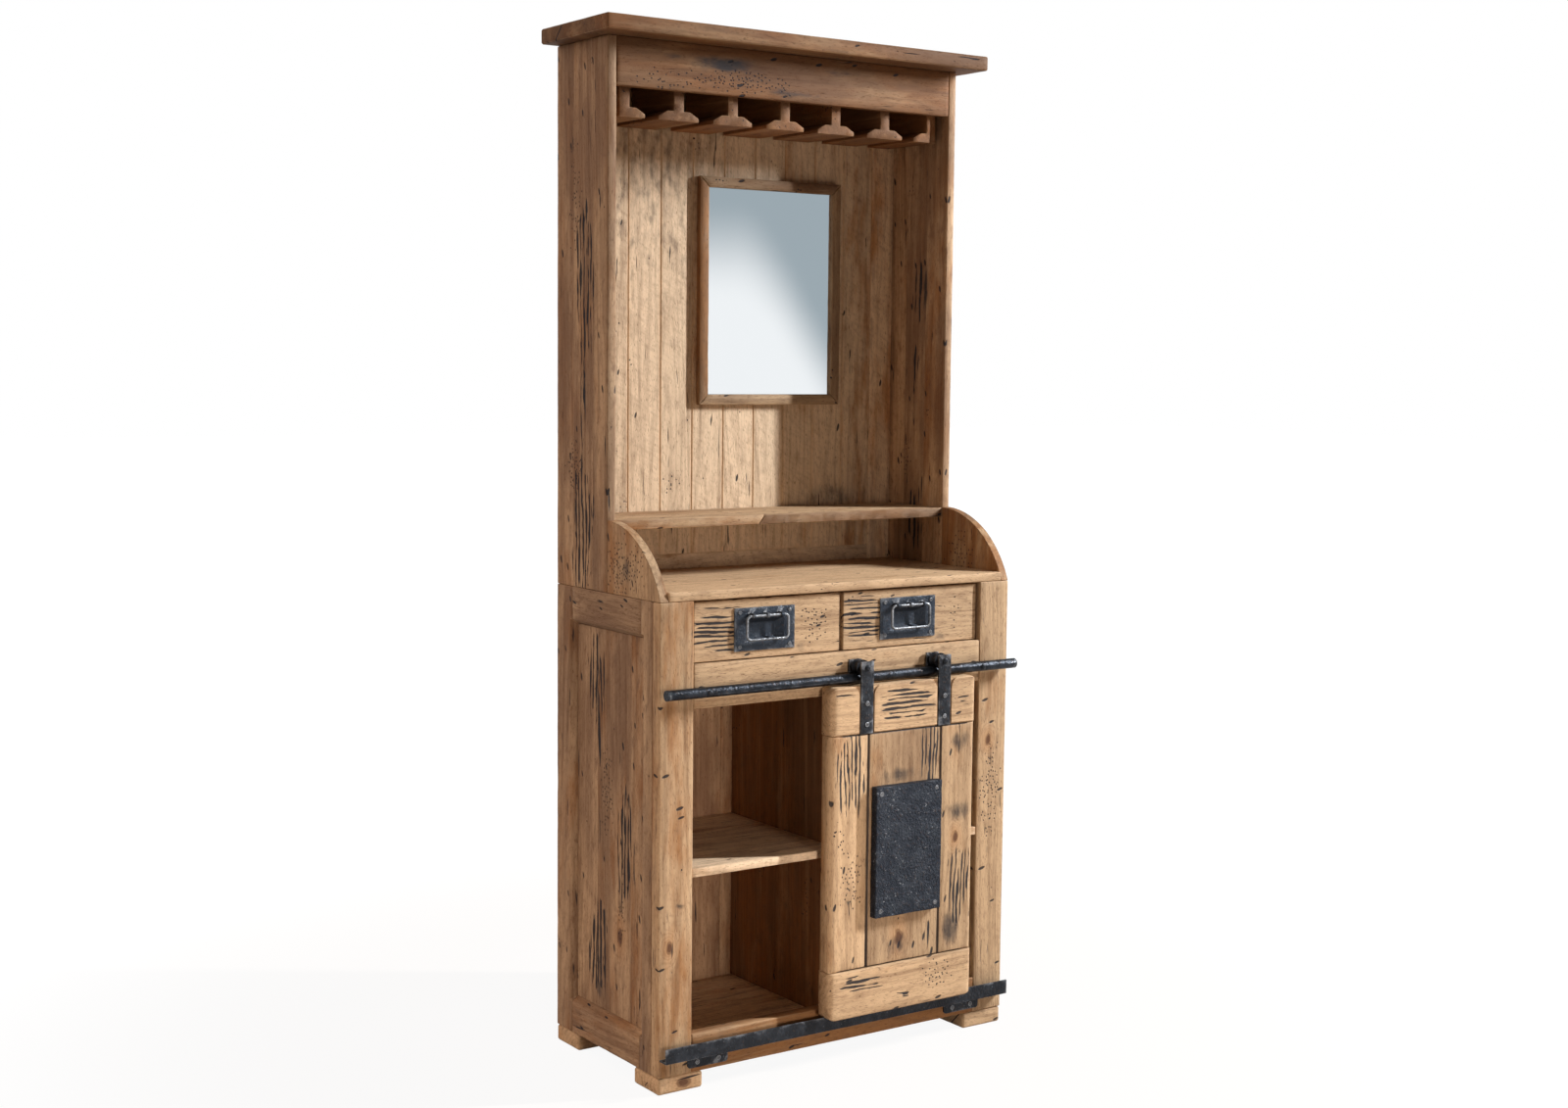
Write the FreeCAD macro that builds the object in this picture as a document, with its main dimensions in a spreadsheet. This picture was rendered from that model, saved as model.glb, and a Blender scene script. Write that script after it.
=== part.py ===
import FreeCAD, Part
import math
import os

import Sketcher

Vector = FreeCAD.Vector

# Driving dimensions of the bar cabinet, in millimetres. Heights are from the floor, depths from the
# front face of the lower cabinet, and widths from the middle unless a name says otherwise.
SIZES = {
    # The lower cabinet
    "body_width": 790,
    "body_depth": 375,
    "overall_height": 1900,
    "lower_height": 880,
    "arris": 1.2,
    "foot_width": 94,
    "foot_depth": 85,
    "foot_height": 31,
    "foot_round": 2.5,
    "frame_thickness": 26,
    "stile_width": 70,
    "bottom_rail_height": 69,
    "drawer_rail_height": 79.5,
    "drawer_opening_height": 112.5,
    "side_thickness": 22,
    "side_front_stile_width": 40.5,
    "side_rear_stile_width": 59,
    "side_top_rail_height": 70,
    "panel_recess": 12.5,
    "panel_thickness": 8,
    "moulding_width": 9,
    "back_thickness": 13,
    "back_joint_chamfer": 2,
    "lower_back_stile_width": 68,
    "floor_thickness": 18,
    "floor_below_rail": 30,
    "partition_thickness": 18,
    "shelf_setback": 1,
    "lower_shelf_top": 401,
    "lower_shelf_thickness": 16,
    "counter_thickness": 17,
    # The hutch
    "hutch_board": 18,
    "hutch_front": 187,
    "bracket_height": 132,
    "bracket_radius": 204,
    "fascia_height": 87,
    "fascia_thickness": 18,
    "top_overhang": 34,
    "top_front_overhang": 57,
    "top_thickness": 28,
    "top_edge_chamfer": 3,
    "hutch_shelf_above_counter": 114,
    "hutch_shelf_thickness": 19,
    "lipping_width": 12,
    "scarf_from_left": 312,
    "scarf_slant": 14,
    "hutch_back_stile_width": 55,
    "hutch_back_rail_height": 46,
    # The T-shaped rails for stemmed glasses
    "glass_rail_height": 139,
    "glass_rail_end_inset": 24.5,
    "glass_web_thickness": 22,
    "glass_flange_width": 86,
    "glass_flange_crown": 48,
    "glass_flange_edge": 8,
    "glass_flange_rise": 10.5,
    "half_rail_from_side": 17,
    "glass_rail_gap": 2,
    # The mirror
    "mirror_width": 334,
    "mirror_member": 21,
    "mirror_proud": 14,
    "mirror_setback": 8,
    "mirror_offset": 68,
    "mirror_above_shelf": 203,
    "mirror_below_rails": 79,
    # The pipe that the door hangs on
    "pipe_diameter": 19,
    "pipe_wall": 2,
    "pipe_centre_reach": 21.5,
    "pipe_above_door": 2.5,
    "plug_thickness": 3,
    "plug_spigot_length": 10,
    "standoff_from_stile": 15,
    "standoff_radius": 8,
    "pipe_bolt_radius": 3,
    "pipe_bolt_head_radius": 5,
    "pipe_bolt_head": 3,
    "pipe_bolt_grip": 18,
    # The bent guide under the door
    "guide_thickness": 3,
    "guide_end_gap": 3,
    "guide_reach": 22,
    "guide_above_feet": 32,
    "guide_lip_height": 27,
    "guide_tab_drop": 23,
    "guide_tab_length": 85,
    "guide_tab_on_stile": 10,
    "guide_tab_round": 6,
    "guide_screw_inset": 20,
    "guide_screw_above_feet": 19,
    "guide_lip_engagement": 3.5,
    # The sliding door
    "door_width": 340,
    "door_thickness": 42,
    "door_gap": 3,
    "door_over_rail": 20.5,
    "door_rest_offset": 113.5,
    "door_top_rail_height": 89,
    "door_bottom_rail_height": 90.5,
    "door_corner_radius": 16,
    "door_arris": 2.5,
    "door_side_plank_width": 85,
    "door_plank_recess": 2,
    "door_groove_width": 7,
    "door_groove_depth": 9,
    "door_groove_reach": 17,
    "hanger_from_edge": 79,
    "channel_width": 34,
    "channel_flare": 18,
    "strap_width": 28,
    "strap_thickness": 4,
    "strap_top_above_axle": 12,
    "hanger_bolt_inset": 17,
    "hanger_bolt_spacing": 39,
    "hanger_bolt_radius": 3,
    "hanger_bolt_head_radius": 4.5,
    "hanger_bolt_head": 1.5,
    "roller_width": 18,
    "roller_root_radius": 10.7,
    "roller_flange_depth": 3.3,
    "axle_radius": 4,
    "spacer_radius": 6,
    "axle_head_radius": 5.5,
    "axle_head": 4,
    # The cast plate on the door
    "plate_side_margin": 7.5,
    "plate_height": 247,
    "plate_drop": 2.75,
    "plate_thickness": 17,
    "plate_wall": 6,
    "plate_arris": 1.6,
    "plate_screw_inset": 13,
    "plate_screw_radius": 2.2,
    "plate_screw_head_radius": 4,
    "plate_screw_head": 2,
    "plate_boss_radius": 7,
    # The drawers
    "drawer_front_recess": 8,
    "drawer_front_thickness": 17,
    "drawer_side_gap": 4,
    "drawer_centre_gap": 8,
    "drawer_bottom_gap": 1.5,
    "drawer_top_gap": 3,
    "drawer_wall": 12,
    "drawer_box_inset": 2,
    "drawer_box_inner_inset": 11,
    "drawer_box_raise": 6,
    "drawer_box_top_gap": 20,
    "drawer_box_back_gap": 22,
    "drawer_bottom_thickness": 6,
    "runner_depth": 24,
    "runner_ledge_width": 11,
    "runner_guide_height": 30,
    # The drop handles
    "handle_offset": 9.5,
    "handle_drop": 1,
    "handle_width": 130,
    "handle_height": 78,
    "handle_thickness": 2.5,
    "pan_width": 84,
    "pan_height": 42,
    "pan_floor_width": 57,
    "pan_floor_height": 25,
    "pan_depth": 10,
    "pan_wall": 1.5,
    "pan_drop": 2,
    "handle_screw_inset_across": 11,
    "handle_screw_inset_up": 8,
    "handle_screw_head_radius": 3.5,
    "bail_rod_radius": 2.5,
    "bail_width": 94,
    "bail_height": 48,
    "bail_corner": 8,
    "bail_below_plate_top": 12,
    "bail_proud": 10,
    "lug_spacing": 31,
    "lug_width": 6,
    "lug_radius": 4.5,
    # Small screws and running clearances
    "screw_radius": 2,
    "screw_length": 14,
    "screw_head_radius": 4.5,
    "screw_head": 1.5,
    "fit_gap": 0.2,
    "run_gap": 0.3,
}

# Counts of what repeats: the lower planks on each side of the middle stile, and the whole rails
HUTCH_PLANK_COUNT = 9
LOWER_PLANK_COUNT = 5
GLASS_RAIL_COUNT = 5

# A round head's flat crown as a share of its radius, and its rim as a share of its height
crown_share = 0.5
rim_share = 0.6


class Length:
    """A size that carries its value and the expression that gives it from the sheet."""

    def __init__(self, value, text):
        self.value = value
        self.text = text

    @staticmethod
    def of(thing):
        return thing if isinstance(thing, Length) else Length(float(thing), repr(thing))

    def __add__(self, other):
        other = Length.of(other)
        return Length(self.value + other.value, f"({self.text} + {other.text})")

    def __sub__(self, other):
        other = Length.of(other)
        return Length(self.value - other.value, f"({self.text} - {other.text})")

    def __mul__(self, other):
        other = Length.of(other)
        return Length(self.value * other.value, f"({self.text} * {other.text})")

    def __truediv__(self, other):
        other = Length.of(other)
        return Length(self.value / other.value, f"({self.text} / {other.text})")

    def __neg__(self):
        return Length(-self.value, f"(0 - {self.text})")

    def __radd__(self, other):
        return Length.of(other) + self

    def __rmul__(self, other):
        return Length.of(other) * self

    def root(self):
        return Length(math.sqrt(self.value), f"sqrt({self.text})")


class Sizes:
    """The cells of the sheet, read by their names."""

    def __init__(self, sheet):
        for alias, value in SIZES.items():
            setattr(self, alias, Length(float(value), f"{sheet.Name}.{alias}"))


doc = FreeCAD.newDocument("bar_cabinet")
sheet = doc.addObject("Spreadsheet::Sheet", "Sizes")
for row, (alias, value) in enumerate(SIZES.items(), 1):
    sheet.set(f"A{row}", alias)
    sheet.set(f"B{row}", str(value))
    sheet.setAlias(f"B{row}", alias)
doc.recompute()
d = Sizes(sheet)
ZERO = Length(0.0, "0")
subparts = []


def bind(thing, **lengths):
    """Binds each named property of an object to the sheet."""
    for name, length in lengths.items():
        thing.setExpression(name, Length.of(length).text)


def place(thing, x, y, z):
    """Puts an object's own origin at a point given from the middle, the front face and the floor."""
    for axis, length in (("x", x), ("y", FRONT + y), ("z", z)):
        thing.setExpression(f"Placement.Base.{axis}", Length.of(length).text)


def keep(thing, label):
    """Marks an object as a finished sub-part."""
    thing.Label = label
    subparts.append(thing)
    return thing


def group(label, pieces):
    """A sub-part of several separate solids."""
    whole = doc.addObject("Part::Compound", label)
    whole.Links = pieces
    return keep(whole, label)


def sketch(body, plane, name):
    """An empty sketch on one of the body's own origin planes."""
    drawing = body.newObject("Sketcher::SketchObject", name)
    support = next(f for f in body.Origin.OriginFeatures if f.Role == plane)
    drawing.AttachmentSupport = [(support, "")]
    drawing.MapMode = "FlatFace"
    return drawing


def dimension(drawing, constraint, length):
    """Adds one dimension and binds it to the sheet."""
    index = drawing.addConstraint(constraint)
    drawing.setExpression(f"Constraints[{index}]", length.text)


def fix_point(drawing, edge, end, u, v):
    """Fixes one end of an edge at (u, v) from the sketch's origin."""
    if u is ZERO:
        drawing.addConstraint(Sketcher.Constraint("PointOnObject", edge, end, -2))
    else:
        dimension(drawing, Sketcher.Constraint("DistanceX", -1, 1, edge, end, u.value), u)
    if v is ZERO:
        drawing.addConstraint(Sketcher.Constraint("PointOnObject", edge, end, -1))
    else:
        dimension(drawing, Sketcher.Constraint("DistanceY", -1, 1, edge, end, v.value), v)


def shorter_arc(start, end, radius, side):
    """The shorter arc between two points that bulges to the given side of the way from start to end."""
    chord = end - start
    depth = math.sqrt(max(radius * radius - chord.Length * chord.Length / 4, 0.0))
    left = Vector(-chord.y, chord.x, 0).normalize()
    centre = (start + end) * 0.5 - left * (depth * side)
    first, last = (start, end) if side < 0 else (end, start)
    angles = [math.atan2(point.y - centre.y, point.x - centre.x) for point in (first, last)]
    return Part.ArcOfCircle(Part.Circle(centre, Vector(0, 0, 1), radius), *angles)


def draw_outline(drawing, points):
    """Draws a closed outline. A point may carry a radius and a side (1 is left of the way, -1 right),
    and is then reached along an arc."""
    ends = []
    for start, end in zip(points, points[1:] + points[:1]):
        first = Vector(start[0].value, start[1].value, 0)
        last = Vector(end[0].value, end[1].value, 0)
        if len(end) > 2:
            edge = drawing.addGeometry(shorter_arc(first, last, end[2].value, end[3]))
            forward = end[3] < 0
            dimension(drawing, Sketcher.Constraint("Radius", edge, end[2].value), end[2])
        else:
            edge = drawing.addGeometry(Part.LineSegment(first, last))
            forward = True
        ends.append((edge, 1, 2) if forward else (edge, 2, 1))
    for (edge, begin, _), (before, _, finish), point in zip(ends, ends[-1:] + ends[:-1], points):
        drawing.addConstraint(Sketcher.Constraint("Coincident", before, finish, edge, begin))
        fix_point(drawing, edge, begin, point[0], point[1])


def draw_circles(drawing, centres, radius):
    """Draws equal circles at the given centres."""
    for u, v in centres:
        edge = drawing.addGeometry(Part.Circle(Vector(u.value, v.value, 0), Vector(0, 0, 1), radius.value))
        dimension(drawing, Sketcher.Constraint("Radius", edge, radius.value), radius)
        fix_point(drawing, edge, 3, u, v)


def rectangle(u_low, v_low, u_high, v_high):
    return [(u_low, v_low), (u_high, v_low), (u_high, v_high), (u_low, v_high)]


def feature(body, kind, name, **settings):
    """Adds one feature to a body. Lengths are bound, everything else is set."""
    made = body.newObject(f"PartDesign::{kind}", name)
    for key, value in settings.items():
        if isinstance(value, Length):
            made.setExpression(key, value.text)
        else:
            setattr(made, key, value)
    return made


def prism(name, plane, outline, length, edges=None):
    """A body padded from an outline. It grows towards +Z, +Y or +X from its own origin."""
    body = doc.addObject("PartDesign::Body", name)
    drawing = sketch(body, plane, f"{name}_outline")
    draw_outline(drawing, outline)
    backwards = plane == "XZ_Plane"
    last = feature(body, "Pad", f"{name}_pad", Profile=drawing, Length=length, Reversed=backwards)
    if edges is not None:
        doc.recompute()
        feature(body, "Chamfer", f"{name}_arris", Base=(last, [""]), UseAllEdges=True, Size=edges)
    return body


def board(name, x, y, z, edges=None):
    """A straight board between two places on each axis, with its arrises eased."""
    outline = rectangle(ZERO, ZERO, x[1] - x[0], y[1] - y[0])
    body = prism(name, "XY_Plane", outline, z[1] - z[0], d.arris if edges is None else edges)
    place(body, x[0], y[0], z[0])
    return body


def block(name, x, y, z):
    """A plain block between two places on each axis."""
    made = doc.addObject("Part::Box", name)
    bind(made, Length=x[1] - x[0], Width=y[1] - y[0], Height=z[1] - z[0])
    place(made, x[0], y[0], z[0])
    return made


def cylinder(name, radius, length, x, y, z, turn):
    """A round bar that starts at a point and is turned from the vertical."""
    made = doc.addObject("Part::Cylinder", name)
    bind(made, Radius=radius, Height=length)
    made.Placement.Rotation = turn
    place(made, x, y, z)
    return made


def cut(name, base, tool):
    made = doc.addObject("Part::Cut", name)
    made.Base = base
    made.Tool = tool
    return made


def pocket(body, name, plane, outlines, circles, radius, depth, upwards, start=None):
    """Cuts outlines or holes into a body from one of its origin planes, and tests that it cut."""
    doc.recompute()
    before = body.Shape.Volume
    drawing = sketch(body, plane, f"{name}_outline")
    for outline in outlines:
        draw_outline(drawing, outline)
    if circles:
        draw_circles(drawing, circles, radius)
    if start is not None:
        drawing.setExpression("AttachmentOffset.Base.z", start.text)
    made = feature(body, "Pocket", name, Profile=drawing, Length=depth, Reversed=upwards)
    doc.recompute()
    if not body.Shape.Volume < before:
        raise RuntimeError(f"{name} cut nothing")
    return made


def turned(name, profile):
    """A body of revolution about its own Y axis, from points of radius and distance."""
    body = doc.addObject("PartDesign::Body", name)
    drawing = sketch(body, "XY_Plane", f"{name}_profile")
    draw_outline(drawing, profile)
    feature(body, "Revolution", f"{name}_turn", Profile=drawing, ReferenceAxis=(drawing, ["V_Axis"]))
    return body


def screw(name, x, y, z, shank_radius, length, head_radius, head):
    """A round-headed screw that points to the rear, with the seat of its head at the point."""
    profile = [
        (ZERO, ZERO),
        (head_radius * crown_share, ZERO),
        (head_radius, head * rim_share),
        (head_radius, head),
        (shank_radius, head),
        (shank_radius, head + length),
        (ZERO, head + length),
    ]
    body = turned(name, profile)
    place(body, x, y - head, z)
    return body


TO_REAR = FreeCAD.Rotation(Vector(1, 0, 0), -90)
TO_RIGHT = FreeCAD.Rotation(Vector(0, 1, 0), 90)

# Places that several pieces share
front_reach = d.door_gap + d.door_thickness - d.door_plank_recess + d.plate_thickness
FRONT = (front_reach - d.body_depth) / 2
half = d.body_width / 2
inner = half - d.side_thickness
opening_half = half - d.stile_width
back_face = d.body_depth - d.back_thickness
drawer_floor = d.lower_height - d.drawer_opening_height
drawer_rail_bottom = drawer_floor - d.drawer_rail_height
rail_top = d.foot_height + d.bottom_rail_height
floor_top = rail_top - d.floor_below_rail
partition_half = d.partition_thickness / 2
counter_top = d.lower_height + d.counter_thickness
hutch_inner = half - d.hutch_board
hutch_top = d.overall_height - d.top_thickness
hutch_shelf_top = counter_top + d.hutch_shelf_above_counter
glass_flange_bottom = hutch_top - d.glass_rail_height
pipe_radius = d.pipe_diameter / 2
door_top = drawer_rail_bottom + d.door_over_rail
pipe_height = door_top + d.pipe_above_door + pipe_radius
axle_height = pipe_height + pipe_radius + d.run_gap + d.roller_root_radius
standoff_place = opening_half - d.standoff_from_stile
door_front = d.door_gap + d.door_thickness
guide_flange_bottom = d.foot_height + d.guide_above_feet
guide_screw_height = d.foot_height + d.guide_screw_above_feet
guide_tab_from_end = d.stile_width - d.guide_tab_on_stile
door_bottom = guide_flange_bottom + d.guide_lip_height - d.guide_lip_engagement
hanger_offset = d.door_width / 2 - d.hanger_from_edge
roller_flange_radius = d.roller_root_radius + d.roller_flange_depth
plate_width = d.door_width - d.door_side_plank_width * 2 - d.plate_side_margin * 2
front_far = opening_half - d.drawer_side_gap
box_near = d.drawer_centre_gap / 2 + d.drawer_box_inner_inset
box_far = front_far - d.drawer_box_inset
drawer_box_bottom = drawer_floor + d.drawer_bottom_gap + d.drawer_box_raise
drawer_box_top = d.lower_height - d.drawer_box_top_gap
sides = (("left", -1), ("right", 1))


def mirrored(side, near, far):
    """The low and high place of a piece on the left or right, from its distances to the middle."""
    return (-far, -near) if side < 0 else (near, far)


def make_feet():
    for label, low, high in (
        ("front_feet", ZERO, d.foot_depth),
        ("rear_feet", d.body_depth - d.foot_depth, d.body_depth),
    ):
        blocks = []
        for name, side in sides:
            x = mirrored(side, half - d.foot_width, half)
            blocks.append(board(f"{label}_{name}", x, (low, high), (ZERO, d.foot_height), d.foot_round))
        group(label, blocks)


def make_face_frame():
    depth = (ZERO, d.frame_thickness)
    for name, side in sides:
        x = mirrored(side, opening_half, half)
        keep(board(f"front_{name}_stile", x, depth, (d.foot_height, d.lower_height)), f"front_{name}_stile")
    x = (-opening_half, opening_half)
    rail = board("drawer_rail", x, depth, (drawer_rail_bottom, drawer_floor))
    holes = [(opening_half + standoff_place * side, pipe_height - drawer_rail_bottom) for _, side in sides]
    pilot = d.pipe_bolt_grip + d.fit_gap
    pocket(rail, "pipe_pilots", "XZ_Plane", [], holes, d.pipe_bolt_radius + d.fit_gap, pilot, False)
    keep(rail, "drawer_rail")
    rail = board("front_bottom_rail", x, depth, (d.foot_height, rail_top))
    holes = [(at + opening_half, d.guide_screw_above_feet) for at in guide_screw_places()]
    pilot = d.screw_length - d.guide_thickness + d.fit_gap
    pocket(rail, "guide_pilots", "XZ_Plane", [], holes, d.screw_radius + d.fit_gap, pilot, False)
    keep(rail, "front_bottom_rail")


def make_side_panels():
    front_edge = d.frame_thickness + d.side_front_stile_width
    rear_edge = d.body_depth - d.side_rear_stile_width
    low_edge = rail_top
    high_edge = d.lower_height - d.side_top_rail_height
    tall = (d.foot_height, d.lower_height)
    across = (front_edge, rear_edge)
    for name, side in sides:
        label = f"{name}_side_frame"
        x = mirrored(side, inner, half)
        members = [
            block(f"{label}_front_stile", x, (d.frame_thickness, front_edge), tall),
            block(f"{label}_rear_stile", x, (rear_edge, d.body_depth), tall),
            block(f"{label}_top_rail", x, across, (high_edge, d.lower_height)),
            block(f"{label}_bottom_rail", x, across, (d.foot_height, low_edge)),
        ]
        square = doc.addObject("Part::Compound", f"{label}_members")
        square.Links = members
        bevel = doc.addObject("Part::Wedge", f"{label}_moulding")
        wide = rear_edge - front_edge + d.moulding_width * 2
        high = high_edge - low_edge + d.moulding_width * 2
        bind(
            bevel,
            Xmin=ZERO, Xmax=wide, X2min=d.moulding_width, X2max=wide - d.moulding_width,
            Zmin=ZERO, Zmax=high, Z2min=d.moulding_width, Z2max=high - d.moulding_width,
            Ymin=ZERO, Ymax=d.panel_recess,
        )
        bevel.Placement.Rotation = FreeCAD.Rotation(Vector(0, 0, 1), 90 * side)
        start = front_edge - d.moulding_width if side > 0 else rear_edge + d.moulding_width
        place(bevel, half * side, start, low_edge - d.moulding_width)
        keep(cut(label, square, bevel), label)
        x = mirrored(side, half - d.panel_recess - d.panel_thickness, half - d.panel_recess)
        keep(block(f"{name}_side_panel", x, across, (low_edge, high_edge)), f"{name}_side_panel")


def make_inside():
    x = (-inner, inner)
    depth = (d.frame_thickness, back_face)
    keep(board("bottom_board", x, depth, (floor_top - d.floor_thickness, floor_top)), "bottom_board")

    step = d.frame_thickness - d.shelf_setback
    deep = back_face - d.shelf_setback
    outline = [
        (step, ZERO),
        (deep, ZERO),
        (deep, d.lower_height - floor_top),
        (step, d.lower_height - floor_top),
        (step, drawer_rail_bottom - floor_top),
        (ZERO, drawer_rail_bottom - floor_top),
        (ZERO, rail_top - floor_top),
        (step, rail_top - floor_top),
    ]
    body = prism("partition", "YZ_Plane", outline, d.partition_thickness)
    place(body, -partition_half, d.shelf_setback, floor_top)
    keep(body, "partition")

    wide = inner - partition_half
    notch = inner - opening_half
    plans = {
        "left": [
            (ZERO, step), (notch, step), (notch, ZERO),
            (wide, ZERO), (wide, deep), (ZERO, deep),
        ],
        "right": [
            (ZERO, ZERO), (wide - notch, ZERO), (wide - notch, step),
            (wide, step), (wide, deep), (ZERO, deep),
        ],
    }
    for name, side in sides:
        label = f"{name}_shelf"
        body = prism(label, "XY_Plane", plans[name], d.lower_shelf_thickness)
        place(body, mirrored(side, partition_half, inner)[0], d.shelf_setback,
              d.lower_shelf_top - d.lower_shelf_thickness)
        keep(body, label)


def back_planks(name, x_low, x_high, count, z):
    """Equal upright planks side by side, with chamfers along their joints."""
    planks = []
    width = (x_high - x_low) / count
    c = d.back_joint_chamfer
    plan = [
        (c, ZERO), (width - c, ZERO), (width, c),
        (width, d.back_thickness), (ZERO, d.back_thickness), (ZERO, c),
    ]
    for index in range(count):
        plank = prism(f"{name}_{index + 1}", "XY_Plane", plan, z[1] - z[0])
        place(plank, x_low + width * index, back_face, z[0])
        planks.append(plank)
    return planks


def make_backs():
    depth = (back_face, d.body_depth)
    tall = (d.foot_height, d.lower_height)
    stile_half = d.lower_back_stile_width / 2
    planks = back_planks("lower_plank_left", -inner, -stile_half, LOWER_PLANK_COUNT, tall)
    planks += back_planks("lower_plank_right", stile_half, inner, LOWER_PLANK_COUNT, tall)
    planks.append(board("lower_back_stile", (-stile_half, stile_half), depth, tall))
    group("lower_back", planks)

    plank_edge = hutch_inner - d.hutch_back_stile_width
    rail = (d.lower_height, d.lower_height + d.hutch_back_rail_height)
    members = [board("hutch_back_rail", (-plank_edge, plank_edge), depth, rail)]
    for name, side in sides:
        x = mirrored(side, plank_edge, hutch_inner)
        members.append(board(f"hutch_back_{name}_stile", x, depth, (d.lower_height, hutch_top)))
    group("hutch_back_frame", members)
    tall = (rail[1], hutch_top)
    group("hutch_back_planks", back_planks("hutch_plank", -plank_edge, plank_edge, HUTCH_PLANK_COUNT, tall))


def make_hutch():
    keep(board("counter_board", (-hutch_inner, hutch_inner), (ZERO, back_face),
               (d.lower_height, counter_top)), "counter_board")
    for name, side in sides:
        x = mirrored(side, hutch_inner, half)
        label = f"hutch_{name}_side"
        keep(board(label, x, (d.hutch_front, d.body_depth), (d.lower_height, hutch_top)), label)
        label = f"{name}_bracket"
        outline = [
            (ZERO, ZERO, d.bracket_radius, -1),
            (d.hutch_front, ZERO),
            (d.hutch_front, d.bracket_height),
        ]
        body = prism(label, "YZ_Plane", outline, d.hutch_board, d.arris)
        place(body, x[0], ZERO, d.lower_height)
        keep(body, label)

    x = (-hutch_inner, hutch_inner)
    fascia_back = d.hutch_front + d.fascia_thickness
    keep(board("fascia", x, (d.hutch_front, fascia_back),
               (hutch_top - d.fascia_height, hutch_top)), "fascia")
    wide = half + d.top_overhang
    keep(board("top_board", (-wide, wide), (d.hutch_front - d.top_front_overhang, d.body_depth),
               (hutch_top, d.overall_height), d.top_edge_chamfer), "top_board")

    lipping_back = d.hutch_front + d.lipping_width
    shelf_bottom = hutch_shelf_top - d.hutch_shelf_thickness
    z = (shelf_bottom, hutch_shelf_top)
    keep(board("hutch_shelf", x, (lipping_back, back_face), z), "hutch_shelf")
    scarf = d.scarf_from_left
    total = hutch_inner * 2
    rise = d.hutch_shelf_thickness
    scarf_end = (scarf + d.scarf_slant, rise)
    left = prism("lipping_left", "XZ_Plane", [(ZERO, ZERO), (scarf, ZERO), scarf_end, (ZERO, rise)],
                 d.lipping_width)
    right = prism("lipping_right", "XZ_Plane", [(scarf, ZERO), (total, ZERO), (total, rise), scarf_end],
                  d.lipping_width)
    for piece in (left, right):
        place(piece, x[0], d.hutch_front, shelf_bottom)
    group("shelf_lipping", [left, right])


def glass_rail(name, web_low, left_reach, right_reach):
    """One rail whose web starts at a place across. Its flange reaches out on one side or on both."""
    web_high = left_reach + d.glass_web_thickness
    wide = web_high + right_reach
    edge = d.glass_flange_edge
    crown = edge + d.glass_flange_rise
    crown_reach = (d.glass_flange_crown - d.glass_web_thickness) / 2
    tall = d.glass_rail_height
    outline = [(ZERO, ZERO), (wide, ZERO)]
    if right_reach is not ZERO:
        outline += [(wide, edge), (web_high + crown_reach, crown), (web_high, crown)]
    outline += [(web_high, tall), (left_reach, tall)]
    if left_reach is not ZERO:
        outline += [(left_reach, crown), (left_reach - crown_reach, crown), (ZERO, edge)]
    front = d.hutch_front + d.fascia_thickness + d.glass_rail_gap
    body = prism(name, "XZ_Plane", outline, back_face - d.glass_rail_gap - front)
    place(body, web_low - left_reach, front, glass_flange_bottom)
    return body


def make_glass_rails():
    reach = (d.glass_flange_width - d.glass_web_thickness) / 2
    pitch = (hutch_inner - d.glass_rail_end_inset) * 2 / (GLASS_RAIL_COUNT + 1)
    rails = []
    for index in range(GLASS_RAIL_COUNT):
        web = pitch * (index - (GLASS_RAIL_COUNT - 1) / 2) - d.glass_web_thickness / 2
        rails.append(glass_rail(f"glass_rail_{index + 1}", web, reach, reach))
    end = hutch_inner - d.half_rail_from_side
    rails.append(glass_rail("glass_rail_left", -end, ZERO, reach))
    rails.append(glass_rail("glass_rail_right", end - d.glass_web_thickness, reach, ZERO))
    group("glass_rails", rails)


def make_mirror():
    wide = d.mirror_width
    bottom = hutch_shelf_top + d.mirror_above_shelf
    high = glass_flange_bottom - d.mirror_below_rails - bottom
    m = d.mirror_member
    outlines = {
        "bottom": [(ZERO, ZERO), (wide, ZERO), (wide - m, m), (m, m)],
        "top": [(m, high - m), (wide - m, high - m), (wide, high), (ZERO, high)],
        "left": [(ZERO, ZERO), (m, m), (m, high - m), (ZERO, high)],
        "right": [(wide - m, m), (wide, ZERO), (wide, high), (wide - m, high - m)],
    }
    left = d.mirror_offset - wide / 2
    members = []
    for name, outline in outlines.items():
        member = prism(f"mirror_member_{name}", "XZ_Plane", outline, d.mirror_proud)
        place(member, left, back_face - d.mirror_proud, bottom)
        members.append(member)
    group("mirror_frame", members)
    glass_front = back_face - d.mirror_proud + d.mirror_setback
    keep(block("mirror_glass", (left + m, left + wide - m), (glass_front, back_face),
               (bottom + m, bottom + high - m)), "mirror_glass")


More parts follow.
